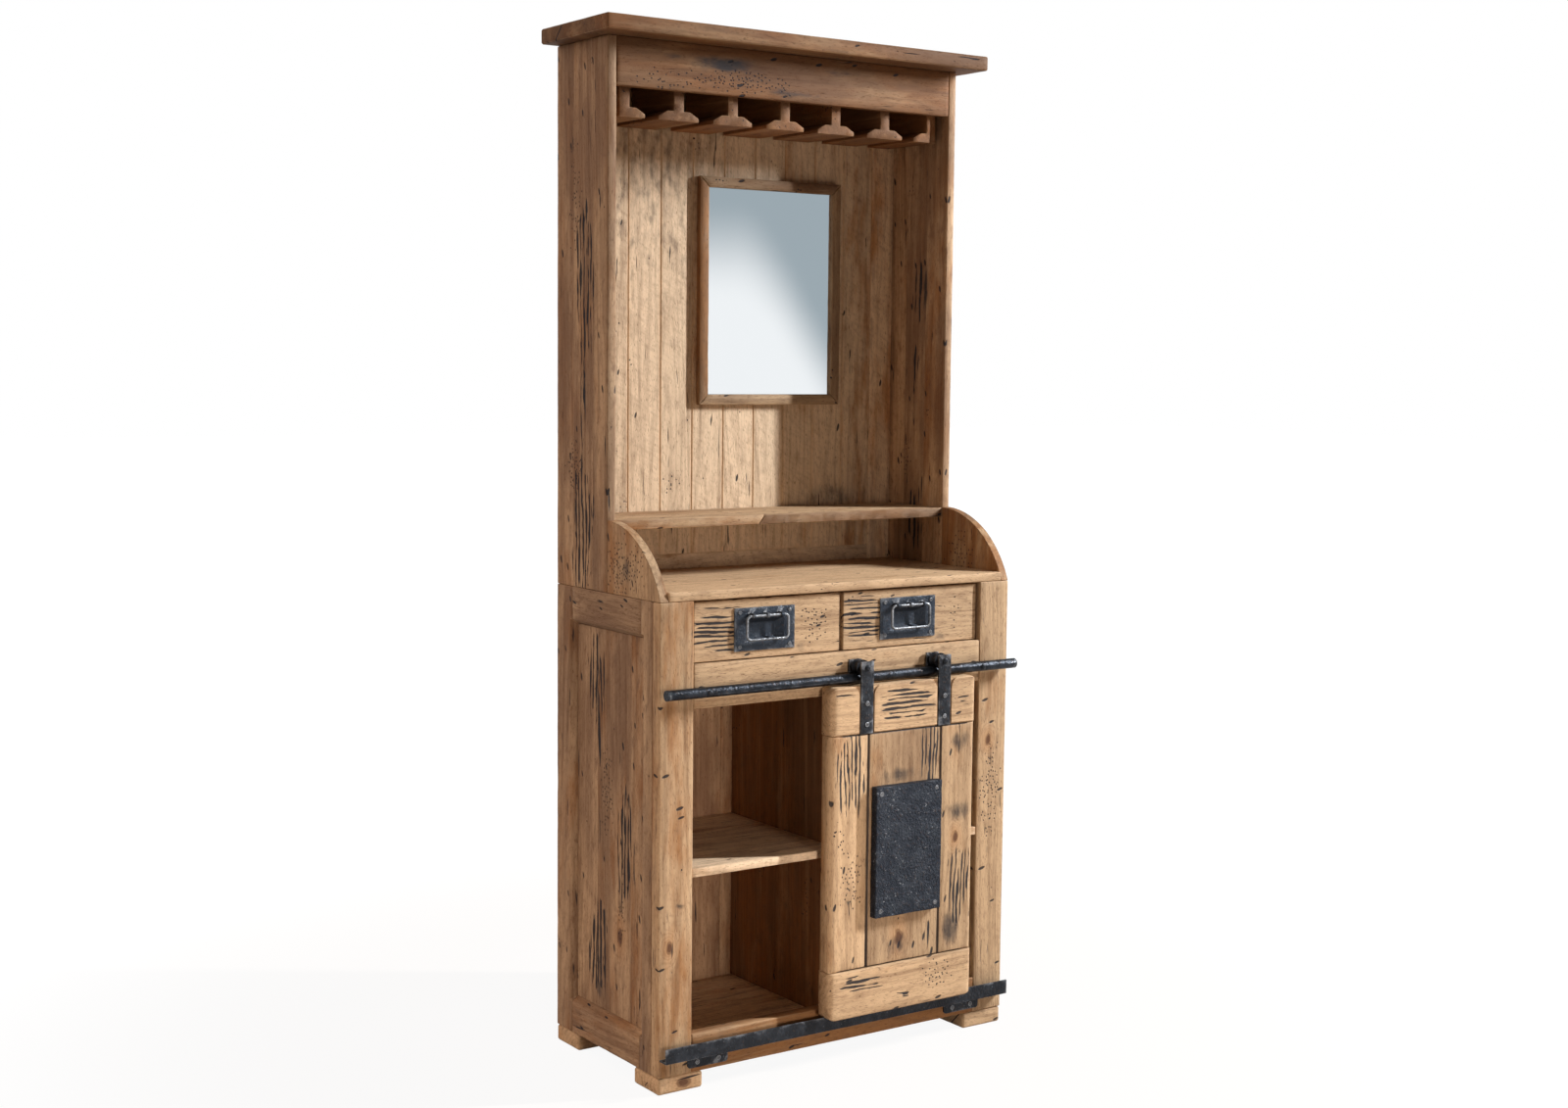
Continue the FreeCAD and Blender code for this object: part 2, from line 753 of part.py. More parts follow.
def make_pipe():
    run = (half - d.plug_thickness) * 2
    body = doc.addObject("PartDesign::Body", "rail_pipe")
    drawing = sketch(body, "YZ_Plane", "pipe_section")
    draw_circles(drawing, [(ZERO, ZERO)], pipe_radius)
    draw_circles(drawing, [(ZERO, ZERO)], pipe_radius - d.pipe_wall)
    feature(body, "Pad", "pipe_run", Profile=drawing, Length=run)
    holes = [(run / 2 + standoff_place * side, ZERO) for _, side in sides]
    pocket(body, "pipe_bolt_holes", "XZ_Plane", [], holes, d.pipe_bolt_radius + d.fit_gap,
           d.pipe_diameter, False, pipe_radius)
    place(body, d.plug_thickness - half, -d.pipe_centre_reach, pipe_height)
    keep(body, "rail_pipe")

    plugs = []
    standoffs = []
    bolts = []
    spigot = pipe_radius - d.pipe_wall - d.fit_gap
    for name, side in sides:
        disc = mirrored(side, half - d.plug_thickness, half)
        stem = mirrored(side, half - d.plug_thickness - d.plug_spigot_length, half - d.plug_thickness)
        plug = doc.addObject("Part::Fuse", f"pipe_plug_{name}")
        plug.Base = cylinder(f"plug_disc_{name}", pipe_radius, d.plug_thickness,
                             disc[0], -d.pipe_centre_reach, pipe_height, TO_RIGHT)
        plug.Tool = cylinder(f"plug_stem_{name}", spigot, d.plug_spigot_length,
                             stem[0], -d.pipe_centre_reach, pipe_height, TO_RIGHT)
        plugs.append(plug)

        x = standoff_place * side
        post = cylinder(f"standoff_post_{name}", d.standoff_radius, d.pipe_centre_reach,
                        x, -d.pipe_centre_reach, pipe_height, TO_REAR)
        saddle = cylinder(f"standoff_saddle_{name}", pipe_radius, d.standoff_radius * 4,
                          x - d.standoff_radius * 2, -d.pipe_centre_reach, pipe_height, TO_RIGHT)
        bore = cylinder(f"standoff_bore_{name}", d.pipe_bolt_radius + d.fit_gap, d.pipe_centre_reach,
                        x, -d.pipe_centre_reach, pipe_height, TO_REAR)
        standoffs.append(cut(f"standoff_{name}", cut(f"standoff_seat_{name}", post, saddle), bore))
        bolts.append(screw(f"pipe_bolt_{name}", x, -d.pipe_centre_reach - pipe_radius, pipe_height,
                           d.pipe_bolt_radius, d.pipe_centre_reach + pipe_radius + d.pipe_bolt_grip,
                           d.pipe_bolt_head_radius, d.pipe_bolt_head))
    group("pipe_plugs", plugs)
    group("pipe_standoffs", standoffs)
    group("pipe_bolts", bolts)


def guide_screw_places():
    """Places across of the four screws of the guide's two tabs."""
    end = half - guide_tab_from_end
    outer = end - d.guide_screw_inset
    nearer = end - d.guide_tab_length + d.guide_screw_inset
    return [-outer, -nearer, nearer, outer]


def make_guide():
    tab_bottom = guide_flange_bottom - d.guide_tab_drop
    t = d.guide_thickness
    drop = d.guide_tab_drop
    run = (half - d.guide_end_gap) * 2
    section = [
        (ZERO, drop),
        (d.guide_reach, drop),
        (d.guide_reach, drop + t),
        (t, drop + t),
        (t, drop + d.guide_lip_height),
        (ZERO, drop + d.guide_lip_height),
    ]
    body = prism("bottom_guide", "YZ_Plane", section, run)
    drawing = sketch(body, "XZ_Plane", "guide_tabs_outline")
    drawing.setExpression("AttachmentOffset.Base.z", (-d.guide_reach).text)
    r = d.guide_tab_round
    first = guide_tab_from_end - d.guide_end_gap
    for low in (first, run - first - d.guide_tab_length):
        high = low + d.guide_tab_length
        draw_outline(drawing, [
            (low + r, ZERO, r, -1), (high - r, ZERO), (high, r, r, -1),
            (high, drop + t), (low, drop + t), (low, r),
        ])
    feature(body, "Pad", "guide_tabs", Profile=drawing, Length=t)
    holes = [(run / 2 + x, guide_screw_height - tab_bottom) for x in guide_screw_places()]
    pocket(body, "guide_holes", "XZ_Plane", [], holes, d.screw_radius + d.fit_gap, d.guide_reach, False)
    place(body, d.guide_end_gap - half, -d.guide_reach, tab_bottom)
    keep(body, "bottom_guide")
    group("guide_screws", [
        screw(f"guide_screw_{index + 1}", x, -t, guide_screw_height, d.screw_radius, d.screw_length,
              d.screw_head_radius, d.screw_head)
        for index, x in enumerate(guide_screw_places())
    ])


def make_door():
    left = d.door_rest_offset - d.door_width / 2
    wide = d.door_width
    r = d.door_corner_radius
    rail = d.door_top_rail_height
    rail_bottom = door_top - rail
    strap_height = axle_height + d.strap_top_above_axle - rail_bottom
    bolt_rises = [d.hanger_bolt_inset, d.hanger_bolt_inset + d.hanger_bolt_spacing]
    centres = [wide / 2 + hanger_offset * side for _, side in sides]
    bolt_hole = d.hanger_bolt_radius + d.fit_gap

    outline = [
        (ZERO, ZERO), (wide, ZERO), (wide, rail - r),
        (wide - r, rail, r, -1), (r, rail), (ZERO, rail - r, r, -1),
    ]
    top = prism("door_top_rail", "XZ_Plane", outline, d.door_thickness, d.door_arris)
    flare = d.channel_flare
    channels = []
    for centre in centres:
        low = centre - d.channel_width / 2
        high = centre + d.channel_width / 2
        channels.append([
            (low, ZERO), (high, ZERO), (high, rail - flare), (high + flare, rail, flare, 1),
            (low - flare, rail), (low, rail - flare, flare, 1),
        ])
    pocket(top, "front_channels", "XZ_Plane", channels, [], None, d.strap_thickness, False)
    pocket(top, "rear_channels", "XZ_Plane", channels, [], None, d.strap_thickness, True, -d.door_thickness)
    holes = [(centre, rise) for centre in centres for rise in bolt_rises]
    pocket(top, "rail_bolt_holes", "XZ_Plane", [], holes, bolt_hole, d.door_thickness, False)
    place(top, left, -door_front, rail_bottom)
    keep(top, "door_top_rail")

    low_rail = d.door_bottom_rail_height
    outline = [
        (r, ZERO, r, -1), (wide - r, ZERO), (wide, r, r, -1),
        (wide, low_rail), (ZERO, low_rail), (ZERO, r),
    ]
    bottom = prism("door_bottom_rail", "XZ_Plane", outline, d.door_thickness, d.door_arris)
    groove_rear = d.door_thickness + d.door_gap - d.door_groove_reach
    groove = rectangle(ZERO, groove_rear - d.door_groove_width, wide, groove_rear)
    pocket(bottom, "guide_groove", "XY_Plane", [groove], [], None, d.door_groove_depth, True)
    place(bottom, left, -door_front, door_bottom)
    keep(bottom, "door_bottom_rail")

    depth = (d.door_plank_recess - door_front, -d.door_gap - d.door_plank_recess)
    tall = (door_bottom + low_rail, rail_bottom)
    joints = [left, left + d.door_side_plank_width, left + wide - d.door_side_plank_width, left + wide]
    plate_wide = plate_width
    plate_high = d.plate_height
    plate_bottom = (tall[0] + tall[1] - plate_high) / 2 - d.plate_drop
    inset = d.plate_screw_inset
    screw_places = [
        (d.door_rest_offset + (plate_wide / 2 - inset) * across, plate_bottom + up)
        for across in (-1, 1)
        for up in (inset, plate_high - inset)
    ]
    pilot_length = d.screw_length + d.fit_gap
    for label, low, high in zip(("left", "middle", "right"), joints, joints[1:]):
        plank = board(f"door_{label}_plank", (low, high), depth, tall, d.door_plank_recess)
        if label == "middle":
            holes = [(x - low, z - tall[0]) for x, z in screw_places]
            pocket(plank, "plate_pilots", "XZ_Plane", [], holes, d.plate_screw_radius + d.fit_gap,
                   pilot_length, False)
        keep(plank, f"door_{label}_plank")

    plate = prism("door_plate", "XZ_Plane", rectangle(ZERO, ZERO, plate_wide, plate_high),
                  d.plate_thickness, d.plate_arris)
    w = d.plate_wall
    b = inset + d.plate_boss_radius
    deep = d.plate_thickness
    hollow = [
        (b, w), (plate_wide - b, w), (plate_wide - b, b), (plate_wide - w, b),
        (plate_wide - w, plate_high - b), (plate_wide - b, plate_high - b),
        (plate_wide - b, plate_high - w), (b, plate_high - w), (b, plate_high - b),
        (w, plate_high - b), (w, b), (b, b),
    ]
    pocket(plate, "plate_hollow", "XZ_Plane", [hollow], [], None, deep - w, True, -deep)
    holes = [(x - d.door_rest_offset + plate_wide / 2, z - plate_bottom) for x, z in screw_places]
    pocket(plate, "plate_holes", "XZ_Plane", [], holes, d.plate_screw_radius + d.fit_gap, deep, False)
    pocket(plate, "plate_sinks", "XZ_Plane", [], holes, d.plate_screw_head_radius + d.fit_gap,
           d.plate_screw_head, False)
    plate_front = depth[0] - deep
    place(plate, d.door_rest_offset - plate_wide / 2, plate_front, plate_bottom)
    keep(plate, "door_plate")
    head = d.plate_screw_head
    full = deep + d.screw_length
    screws = []
    for index, (x, z) in enumerate(screw_places):
        profile = [
            (ZERO, ZERO), (d.plate_screw_head_radius, ZERO), (d.plate_screw_head_radius, head),
            (d.plate_screw_radius, head), (d.plate_screw_radius, full), (ZERO, full),
        ]
        body = turned(f"plate_screw_{index + 1}", profile)
        place(body, x, plate_front, z)
        screws.append(body)
    group("plate_screws", screws)

    straps = []
    for front, label in ((-door_front, "front"), (-d.door_gap - d.strap_thickness, "rear")):
        for name, side in sides:
            outline = rectangle(ZERO, ZERO, d.strap_width, strap_height)
            strap = prism(f"strap_{label}_{name}", "XZ_Plane", outline, d.strap_thickness)
            middle = d.strap_width / 2
            pocket(strap, f"strap_axle_{label}_{name}", "XZ_Plane", [],
                   [(middle, strap_height - d.strap_top_above_axle)], d.axle_radius + d.fit_gap,
                   d.strap_thickness, False)
            pocket(strap, f"strap_bolts_{label}_{name}", "XZ_Plane", [],
                   [(middle, rise) for rise in bolt_rises], bolt_hole, d.strap_thickness, False)
            place(strap, d.door_rest_offset + hanger_offset * side - middle, front, rail_bottom)
            straps.append(strap)
    group("hanger_straps", straps)
    group("hanger_bolts", [
        screw(f"hanger_bolt_{name}_{index + 1}", d.door_rest_offset + hanger_offset * side, -door_front,
              rail_bottom + rise, d.hanger_bolt_radius, d.door_thickness, d.hanger_bolt_head_radius,
              d.hanger_bolt_head)
        for name, side in sides
        for index, rise in enumerate(bolt_rises)
    ])


def make_rollers():
    head = d.axle_head
    roller_front = -d.pipe_centre_reach - d.roller_width / 2
    shoulder_one = head + d.strap_thickness
    shoulder_two = head + door_front + roller_front - d.run_gap
    shoulder_three = shoulder_two + d.roller_width + d.run_gap * 2
    shoulder_four = head + d.door_thickness - d.strap_thickness
    full = head + d.door_thickness
    a = d.axle_radius
    s = d.spacer_radius
    groove = pipe_radius + d.run_gap
    drop = axle_height - pipe_height - roller_flange_radius
    mouth = (groove * groove - drop * drop).root()
    flange = roller_flange_radius
    bore = a + d.run_gap
    axles = []
    for name, side in sides:
        x = d.door_rest_offset + hanger_offset * side
        axle = turned(f"axle_{name}", [
            (ZERO, ZERO), (d.axle_head_radius * crown_share, ZERO), (d.axle_head_radius, head * rim_share),
            (d.axle_head_radius, head), (a, head), (a, shoulder_one), (s, shoulder_one), (s, shoulder_two),
            (a, shoulder_two), (a, shoulder_three), (s, shoulder_three), (s, shoulder_four),
            (a, shoulder_four), (a, full), (ZERO, full),
        ])
        place(axle, x, -door_front - head, axle_height)
        axles.append(axle)
        middle = d.roller_width / 2
        roller = turned(f"{name}_roller", [
            (bore, ZERO), (flange, ZERO), (flange, middle - mouth), (flange, middle + mouth, groove, 1),
            (flange, d.roller_width), (bore, d.roller_width),
        ])
        place(roller, x, roller_front, axle_height)
        keep(roller, f"{name}_roller")
    group("roller_axles", axles)


def make_runners():
    runners = []
    bearing = drawer_box_bottom - d.run_gap
    low = bearing - d.runner_depth
    high = bearing + d.runner_guide_height
    for name, side in sides:
        outer_guide = box_far + d.run_gap
        inner_guide = box_near - d.run_gap
        for place_name, wall, guide, ledge in (
            ("outer", inner, outer_guide, outer_guide - d.runner_ledge_width),
            ("inner", partition_half, inner_guide, inner_guide + d.runner_ledge_width),
        ):
            reach = [length * side for length in (wall, guide, ledge)]
            first = min(reach, key=lambda length: length.value)
            steps = [length - first if length is not first else ZERO for length in reach]
            outline = [
                (steps[0], ZERO), (steps[2], ZERO), (steps[2], d.runner_depth),
                (steps[1], d.runner_depth), (steps[1], high - low), (steps[0], high - low),
            ]
            body = prism(f"runner_{name}_{place_name}", "XZ_Plane", outline, back_face - d.frame_thickness)
            place(body, first, d.frame_thickness, low)
            runners.append(body)
    group("drawer_runners", runners)


def make_handle(name, x, z):
    """The pressed plate with its pan and three lugs, its four screws and the bail that hangs in it."""
    front = d.drawer_front_recess - d.handle_thickness
    wide = d.handle_width
    high = d.handle_height
    plate = prism(f"{name}_plate_sheet", "XZ_Plane", rectangle(ZERO, ZERO, wide, high), d.handle_thickness)
    corners = handle_corners()
    pocket(plate, f"{name}_plate_holes", "XZ_Plane", [], [(wide / 2 + u, high / 2 + v) for u, v in corners],
           d.screw_radius + d.fit_gap, d.handle_thickness, False)
    place(plate, x - wide / 2, front, z - high / 2)
    pans = []
    for label, wall in (("outside", d.pan_wall), ("inside", ZERO)):
        pan = doc.addObject("Part::Wedge", f"{name}_pan_{label}")
        pan_wide = d.pan_width + wall * 2
        pan_high = d.pan_height + wall * 2
        across = (d.pan_width - d.pan_floor_width) / 2
        up = (d.pan_height - d.pan_floor_height) / 2
        bind(
            pan,
            Xmin=ZERO, Xmax=pan_wide, X2min=across, X2max=pan_wide - across,
            Zmin=ZERO, Zmax=pan_high, Z2min=up, Z2max=pan_high - up,
            Ymin=ZERO, Ymax=d.pan_depth + wall,
        )
        place(pan, x - pan_wide / 2, front, z - d.pan_drop - pan_high / 2)
        pans.append(pan)
    pivot = z + high / 2 - d.bail_below_plate_top - d.bail_rod_radius
    r = d.lug_radius
    lugs = []
    for index in (-1, 0, 1):
        lug = prism(f"{name}_lug_{index + 2}", "YZ_Plane", [
            (r, ZERO, r, -1), (r + d.bail_proud, ZERO), (r + d.bail_proud, r + r),
            (r, r + r), (ZERO, r, r, -1),
        ], d.lug_width)
        pocket(lug, f"{name}_lug_bore_{index + 2}", "YZ_Plane", [], [(r, r)], d.bail_rod_radius + d.run_gap,
               d.lug_width, True)
        place(lug, x + d.lug_spacing * index - d.lug_width / 2, front - d.bail_proud - r, pivot - r)
        lugs.append(lug)
    whole = doc.addObject("Part::MultiFuse", f"{name}_handle_pressing")
    whole.Shapes = [plate, pans[0]] + lugs
    keep(cut(f"{name}_handle_plate", whole, pans[1]), f"{name}_handle_plate")
    group(f"{name}_handle_screws", [
        screw(f"{name}_handle_screw_{index + 1}", x + u, front, z + v, d.screw_radius,
              d.screw_length, d.handle_screw_head_radius, d.screw_head)
        for index, (u, v) in enumerate(corners)
    ])

    rod = d.bail_rod_radius
    across = d.bail_width - rod * 2
    tall = d.bail_height - rod * 2
    c = d.bail_corner
    body = doc.addObject("PartDesign::Body", f"{name}_bail")
    spine = sketch(body, "XZ_Plane", f"{name}_bail_line")
    draw_outline(spine, [
        (across / 2, tall), (c, tall), (ZERO, tall - c, c, -1), (ZERO, c), (c, ZERO, c, -1),
        (across - c, ZERO), (across, c, c, -1), (across, tall - c), (across - c, tall, c, -1),
    ])
    section = sketch(body, "YZ_Plane", f"{name}_bail_rod")
    section.setExpression("AttachmentOffset.Base.z", (across / 2).text)
    draw_circles(section, [(ZERO, tall)], rod)
    doc.recompute()
    feature(body, "AdditivePipe", f"{name}_bail_bend", Profile=section, Spine=(spine, [""]))
    place(body, x - across / 2, front - d.bail_proud, pivot - tall)
    keep(body, f"{name}_bail")


def handle_corners():
    """The four screws of a handle, from its middle."""
    across = d.handle_width / 2 - d.handle_screw_inset_across
    up = d.handle_height / 2 - d.handle_screw_inset_up
    return [(across * u, up * v) for u in (-1, 1) for v in (-1, 1)]


def make_drawer(name, side):
    x = mirrored(side, d.drawer_centre_gap / 2, front_far)
    z = (drawer_floor + d.drawer_bottom_gap, d.lower_height - d.drawer_top_gap)
    rear = d.drawer_front_recess + d.drawer_front_thickness
    front = board(f"{name}_drawer_front", x, (d.drawer_front_recess, rear), z)
    middle = (x[1] - x[0]) / 2 - d.handle_offset
    rise = (z[1] - z[0]) / 2 - d.handle_drop
    spare = d.pan_wall + d.fit_gap
    mortise = rectangle(
        middle - d.pan_width / 2 - spare, rise - d.pan_drop - d.pan_height / 2 - spare,
        middle + d.pan_width / 2 + spare, rise - d.pan_drop + d.pan_height / 2 + spare,
    )
    pocket(front, f"{name}_handle_mortise", "XZ_Plane", [mortise], [], None,
           d.pan_depth + d.pan_wall - d.handle_thickness + d.fit_gap, False)
    holes = [(middle + u, rise + v) for u, v in handle_corners()]
    pocket(front, f"{name}_handle_pilots", "XZ_Plane", [], holes,
           d.screw_radius + d.fit_gap, d.screw_length - d.handle_thickness + d.fit_gap, False)
    keep(front, f"{name}_drawer_front")

    box = (drawer_box_bottom, drawer_box_top)
    end = back_face - d.drawer_box_back_gap
    inside = (box_near + d.drawer_wall, box_far - d.drawer_wall)
    group(f"{name}_drawer_box", [
        board(f"{name}_drawer_inner_side", mirrored(side, box_near, inside[0]), (rear, end), box),
        board(f"{name}_drawer_outer_side", mirrored(side, inside[1], box_far), (rear, end), box),
        board(f"{name}_drawer_back", mirrored(side, *inside), (end - d.drawer_wall, end), box),
    ])
    keep(block(f"{name}_drawer_bottom", mirrored(side, *inside), (rear, end - d.drawer_wall),
               (box[0], box[0] + d.drawer_bottom_thickness)), f"{name}_drawer_bottom")
    make_handle(name, x[0] + middle, z[0] + rise)


def main():
    make_feet()
    make_face_frame()
    make_side_panels()
    make_inside()
    make_backs()
    make_hutch()
    make_glass_rails()
    make_mirror()
    make_pipe()
    make_guide()
    make_door()
    make_rollers()
    make_runners()
    for name, side in sides:
        make_drawer(name, side)
    doc.recompute()

    for thing in doc.Objects:
        if "Invalid" in thing.State or "Error" in thing.State:
            raise RuntimeError(f"{thing.Label} failed: {thing.State}")
    for piece in subparts:
        if piece.Shape.isNull() or not piece.Shape.isValid():
            raise RuntimeError(f"{piece.Label} has no valid shape")
    os.makedirs("parts", exist_ok=True)
    for piece in subparts:
        piece.Shape.exportStep(f"parts/{piece.Label}.step")
        print(piece.Label, len(piece.Shape.Solids), round(piece.Shape.Volume))
    whole = FreeCAD.BoundBox()
    for piece in subparts:
        whole.add(piece.Shape.BoundBox)
    print(len(subparts), "sub-parts within", whole)


main()
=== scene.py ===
"""The looks of a rustic bar cabinet, built round its frame: worn timber, black iron gear, a mirror and a studio."""

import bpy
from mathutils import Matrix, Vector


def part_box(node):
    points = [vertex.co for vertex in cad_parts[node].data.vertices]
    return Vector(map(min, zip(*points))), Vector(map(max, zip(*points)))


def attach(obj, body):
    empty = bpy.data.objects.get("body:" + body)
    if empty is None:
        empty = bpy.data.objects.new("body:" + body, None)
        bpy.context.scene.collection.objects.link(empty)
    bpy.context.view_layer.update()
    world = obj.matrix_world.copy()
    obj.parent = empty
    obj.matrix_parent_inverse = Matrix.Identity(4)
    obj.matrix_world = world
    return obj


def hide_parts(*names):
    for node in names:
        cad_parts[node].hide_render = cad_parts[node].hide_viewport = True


bl_info = {
    "name": "Rustic Bar Cabinet",
    "version": (1, 0, 0),
    "blender": (4, 5, 0),
    "location": "3D View > Sidebar > Bar Cabinet",
    "description": "Builds the worn timber, the iron gear and the mirror of a bar cabinet round its frame",
    "category": "Add Mesh",
}

import math

import bmesh
import bpy
import numpy as np
from bpy.props import FloatProperty, FloatVectorProperty, PointerProperty
from mathutils import Matrix, Vector, noise

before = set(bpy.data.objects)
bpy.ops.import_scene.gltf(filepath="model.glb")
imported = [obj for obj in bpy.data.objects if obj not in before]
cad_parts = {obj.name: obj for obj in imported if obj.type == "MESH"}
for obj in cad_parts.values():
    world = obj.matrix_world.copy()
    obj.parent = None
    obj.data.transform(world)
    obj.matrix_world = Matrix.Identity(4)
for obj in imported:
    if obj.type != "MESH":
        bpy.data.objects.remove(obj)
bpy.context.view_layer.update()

# Directions in the frame
ACROSS = 0
DEEP = 1
UPRIGHT = 2


def colour(name, description, default):
    return FloatVectorProperty(
        name=name, description=description, default=default, size=3, min=0.0, max=1.0, subtype="COLOR"
    )


def length(name, description, default):
    return FloatProperty(name=name, description=description, default=default, min=0.0, unit="LENGTH")


class TimberSettings(bpy.types.PropertyGroup):
    pale: colour("Pale wood", "The lightest, scrubbed tone of the boards", (0.69, 0.475, 0.285))
    warm: colour("Warm wood", "The orange-brown tone in the figure", (0.45, 0.215, 0.085))
    dull: colour("Dull wood", "The greyed tone of weathered patches", (0.28, 0.165, 0.095))
    deep: colour("Deep grain", "The dark lines between the year rings and in the pores", (0.15, 0.07, 0.032))
    inside: colour("Inside tone", "How the boards inside are darkened by the stain", (1.18, 1.1, 1.03))
    # This blue-black is also painted shade, where stain marks or dark arrises stand for shadow
    soot_and_painted_shade: colour("Old marks", "The blue-black in cuts, worm holes and stains", (0.02, 0.023, 0.03))
    knot: colour("Knots", "The reddish core of a knot", (0.085, 0.032, 0.018))
    arris: length("Arris", "Radius that the edges of the boards are worn to", 0.0022)
    door_arris: length("Door arris", "Radius of the softer upright edges of the door", 0.013)
    wear: length("Edge wear", "How deep the wear goes along an edge", 0.0009)
    swell: length("Swell", "How far a face dips below flat", 0.0003)
    cell: length("Cell", "Spacing of the points along a board", 0.009)


class IronSettings(bpy.types.PropertyGroup):
    black: colour("Black iron", "The blackened skin of the iron", (0.0185, 0.0205, 0.025))
    cast: colour("Cast iron", "The blue-black skin of the cast plate", (0.016, 0.02, 0.029))
    pressed: colour("Pressed iron", "The thinner skin of the pressed handles", (0.03, 0.038, 0.052))
    bare: colour("Bare iron", "Iron where the black has rubbed off", (0.058, 0.067, 0.082))
    # This pale is also the painted highlight on iron edges and the painted glints of the flecks
    worn: colour("Worn iron", "Edges that hands and cloths keep bright", (0.3, 0.31, 0.33))
    rust: colour("Rust", "Brown bloom on the guide rail and the casting", (0.1, 0.055, 0.03))
    glass: colour("Mirror", "The tint of the silvered glass", (0.86, 0.89, 0.91))
    arris: length("Iron arris", "Radius of the edges of straps and plates", 0.0005)
    cast_dip: length("Cast dip", "How far the cast face is from flat", 0.0007)


class StudioSettings(bpy.types.PropertyGroup):
    lens: FloatProperty(name="Lens", description="Focal length on a 36 mm sensor", default=47.75, unit="CAMERA")
    camera_place: FloatVectorProperty(
        name="Camera place", description="Where the camera stands", size=3, subtype="TRANSLATION",
        default=(-2.2481, -3.2280, 1.2976),
    )
    camera_turn: FloatProperty(
        name="Camera turn", description="Turn of the view to the right of straight ahead",
        default=0.602573, subtype="ANGLE",
    )
    camera_tilt: FloatProperty(
        name="Camera tilt", description="Tilt of the view below level", default=0.091744, subtype="ANGLE"
    )
    camera_roll: FloatProperty(
        name="Camera roll", description="Roll of the picture", default=-0.010199, subtype="ANGLE"
    )
    key_place: FloatVectorProperty(
        name="Key place", description="Where the tall key light stands", size=3, subtype="TRANSLATION",
        default=(3.55, -1.9, 3.0),
    )
    key_width: length("Key width", "Width of the key light, which softens upright shadows", 0.1)
    key_height: length("Key height", "Height of the key light, which softens level shadows", 1.3)
    key_power: FloatProperty(name="Key power", description="Power of the key light", default=370.0, unit="POWER")
    fill_place: FloatVectorProperty(
        name="Fill place", description="Where the soft fill light stands", size=3, subtype="TRANSLATION",
        default=(-0.38, -3.4, 0.62),
    )
    fill_size: length("Fill size", "Size of the soft fill light", 0.7)
    fill_power: FloatProperty(name="Fill power", description="Power of the fill light", default=1.2, unit="POWER")
    room: FloatProperty(name="Room", description="Brightness of the room on the key's side", default=0.07)
    pale_wall: FloatProperty(
        name="Pale wall", description="How much brighter the room is to the left of the cabinet", default=1.6
    )


def timber():
    return bpy.context.scene.cabinet_timber


def iron():
    return bpy.context.scene.cabinet_iron


def studio():
    return bpy.context.scene.cabinet_studio


class Value:
    """A socket of a node tree. Sums and products of values add their Math nodes."""

    def __init__(self, tree, socket):
        self.tree = tree
        self.socket = socket

    def math(self, operation, first, second):
        return self.tree.node("ShaderNodeMath", {"operation": operation}, {0: first, 1: second})

    def __add__(self, other):
        return self.math("ADD", self, other)

    def __radd__(self, other):
        return self.math("ADD", other, self)

    def __sub__(self, other):
        return self.math("SUBTRACT", self, other)

    def __rsub__(self, other):
        return self.math("SUBTRACT", other, self)

    def __mul__(self, other):
        return self.math("MULTIPLY", self, other)

    def __rmul__(self, other):
        return self.math("MULTIPLY", other, self)

    def __pow__(self, other):
        return self.math("POWER", self, other)


class Tree:
    """The node tree of a material or a world."""

    def __init__(self, owner):
        owner.use_nodes = True
        self.tree = owner.node_tree
        self.tree.nodes.clear()

    def node(self, kind, settings=None, sockets=None, output=0):
        """Adds any node: its settings first, then the values or links of its sockets."""
        made = self.tree.nodes.new(kind)
        for key, value in (settings or {}).items():
            setattr(made, key, value)
        for key, value in (sockets or {}).items():
            if isinstance(value, Value):
                self.tree.links.new(value.socket, made.inputs[key])
            else:
                made.inputs[key].default_value = value
        return Value(self, made.outputs[output]) if made.outputs else made

    def attribute(self, name, output):
        return self.node("ShaderNodeAttribute", {"attribute_name": name}, output=output)

    def parts(self, vector):
        first = self.node("ShaderNodeSeparateXYZ", None, {0: vector})
        node = first.socket.node
        return [Value(self, node.outputs[index]) for index in range(3)]

    def step(self, value, low, high):
        """0 below low and 1 above high, with a soft rise between, or the other way round."""
        return self.node("ShaderNodeMapRange", {"interpolation_type": "SMOOTHSTEP"},
                         {"Value": value, "From Min": low, "From Max": high})

    def scaled(self, vector, along, across, through):
        return self.node("ShaderNodeVectorMath", {"operation": "MULTIPLY"},
                         {0: vector, 1: (along, across, through)})

    def noise(self, vector, detail=2.0, roughness=0.5, output=0):
        return self.node("ShaderNodeTexNoise", None,
                         {"Vector": vector, "Scale": 1.0, "Detail": detail, "Roughness": roughness}, output)

    def grain_noise(self, vector, along, across, detail=2.0, roughness=0.5):
        """Noise with so many waves a metre along the grain and across it."""
        return self.noise(self.scaled(vector, along, across, across), detail, roughness)

    def mix(self, factor, first, second, blend="MIX"):
        return self.node("ShaderNodeMix", {"data_type": "RGBA", "blend_type": blend},
                         {0: factor, 6: first, 7: second}, 2)

    def surface(self, base, rough, metal, height, depth, strength=1.0, **fixed):
        """A Principled surface whose bump is height times depth in metres."""
        bump = self.node("ShaderNodeBump", None, {"Height": height, "Distance": depth, "Strength": strength})
        shader = self.node("ShaderNodeBsdfPrincipled", None, {
            "Base Color": base, "Roughness": rough, "Metallic": metal, "Normal": bump, **fixed,
        })
        self.node("ShaderNodeOutputMaterial", None, {"Surface": shader})


def opaque(rgb):
    return (*rgb, 1.0)


def finish(name, make):
    """The material of that name, made the first time that it is asked for."""
    found = bpy.data.materials.get(name)
    if found is None:
        found = bpy.data.materials.new(name)
        make(Tree(found))
    return found


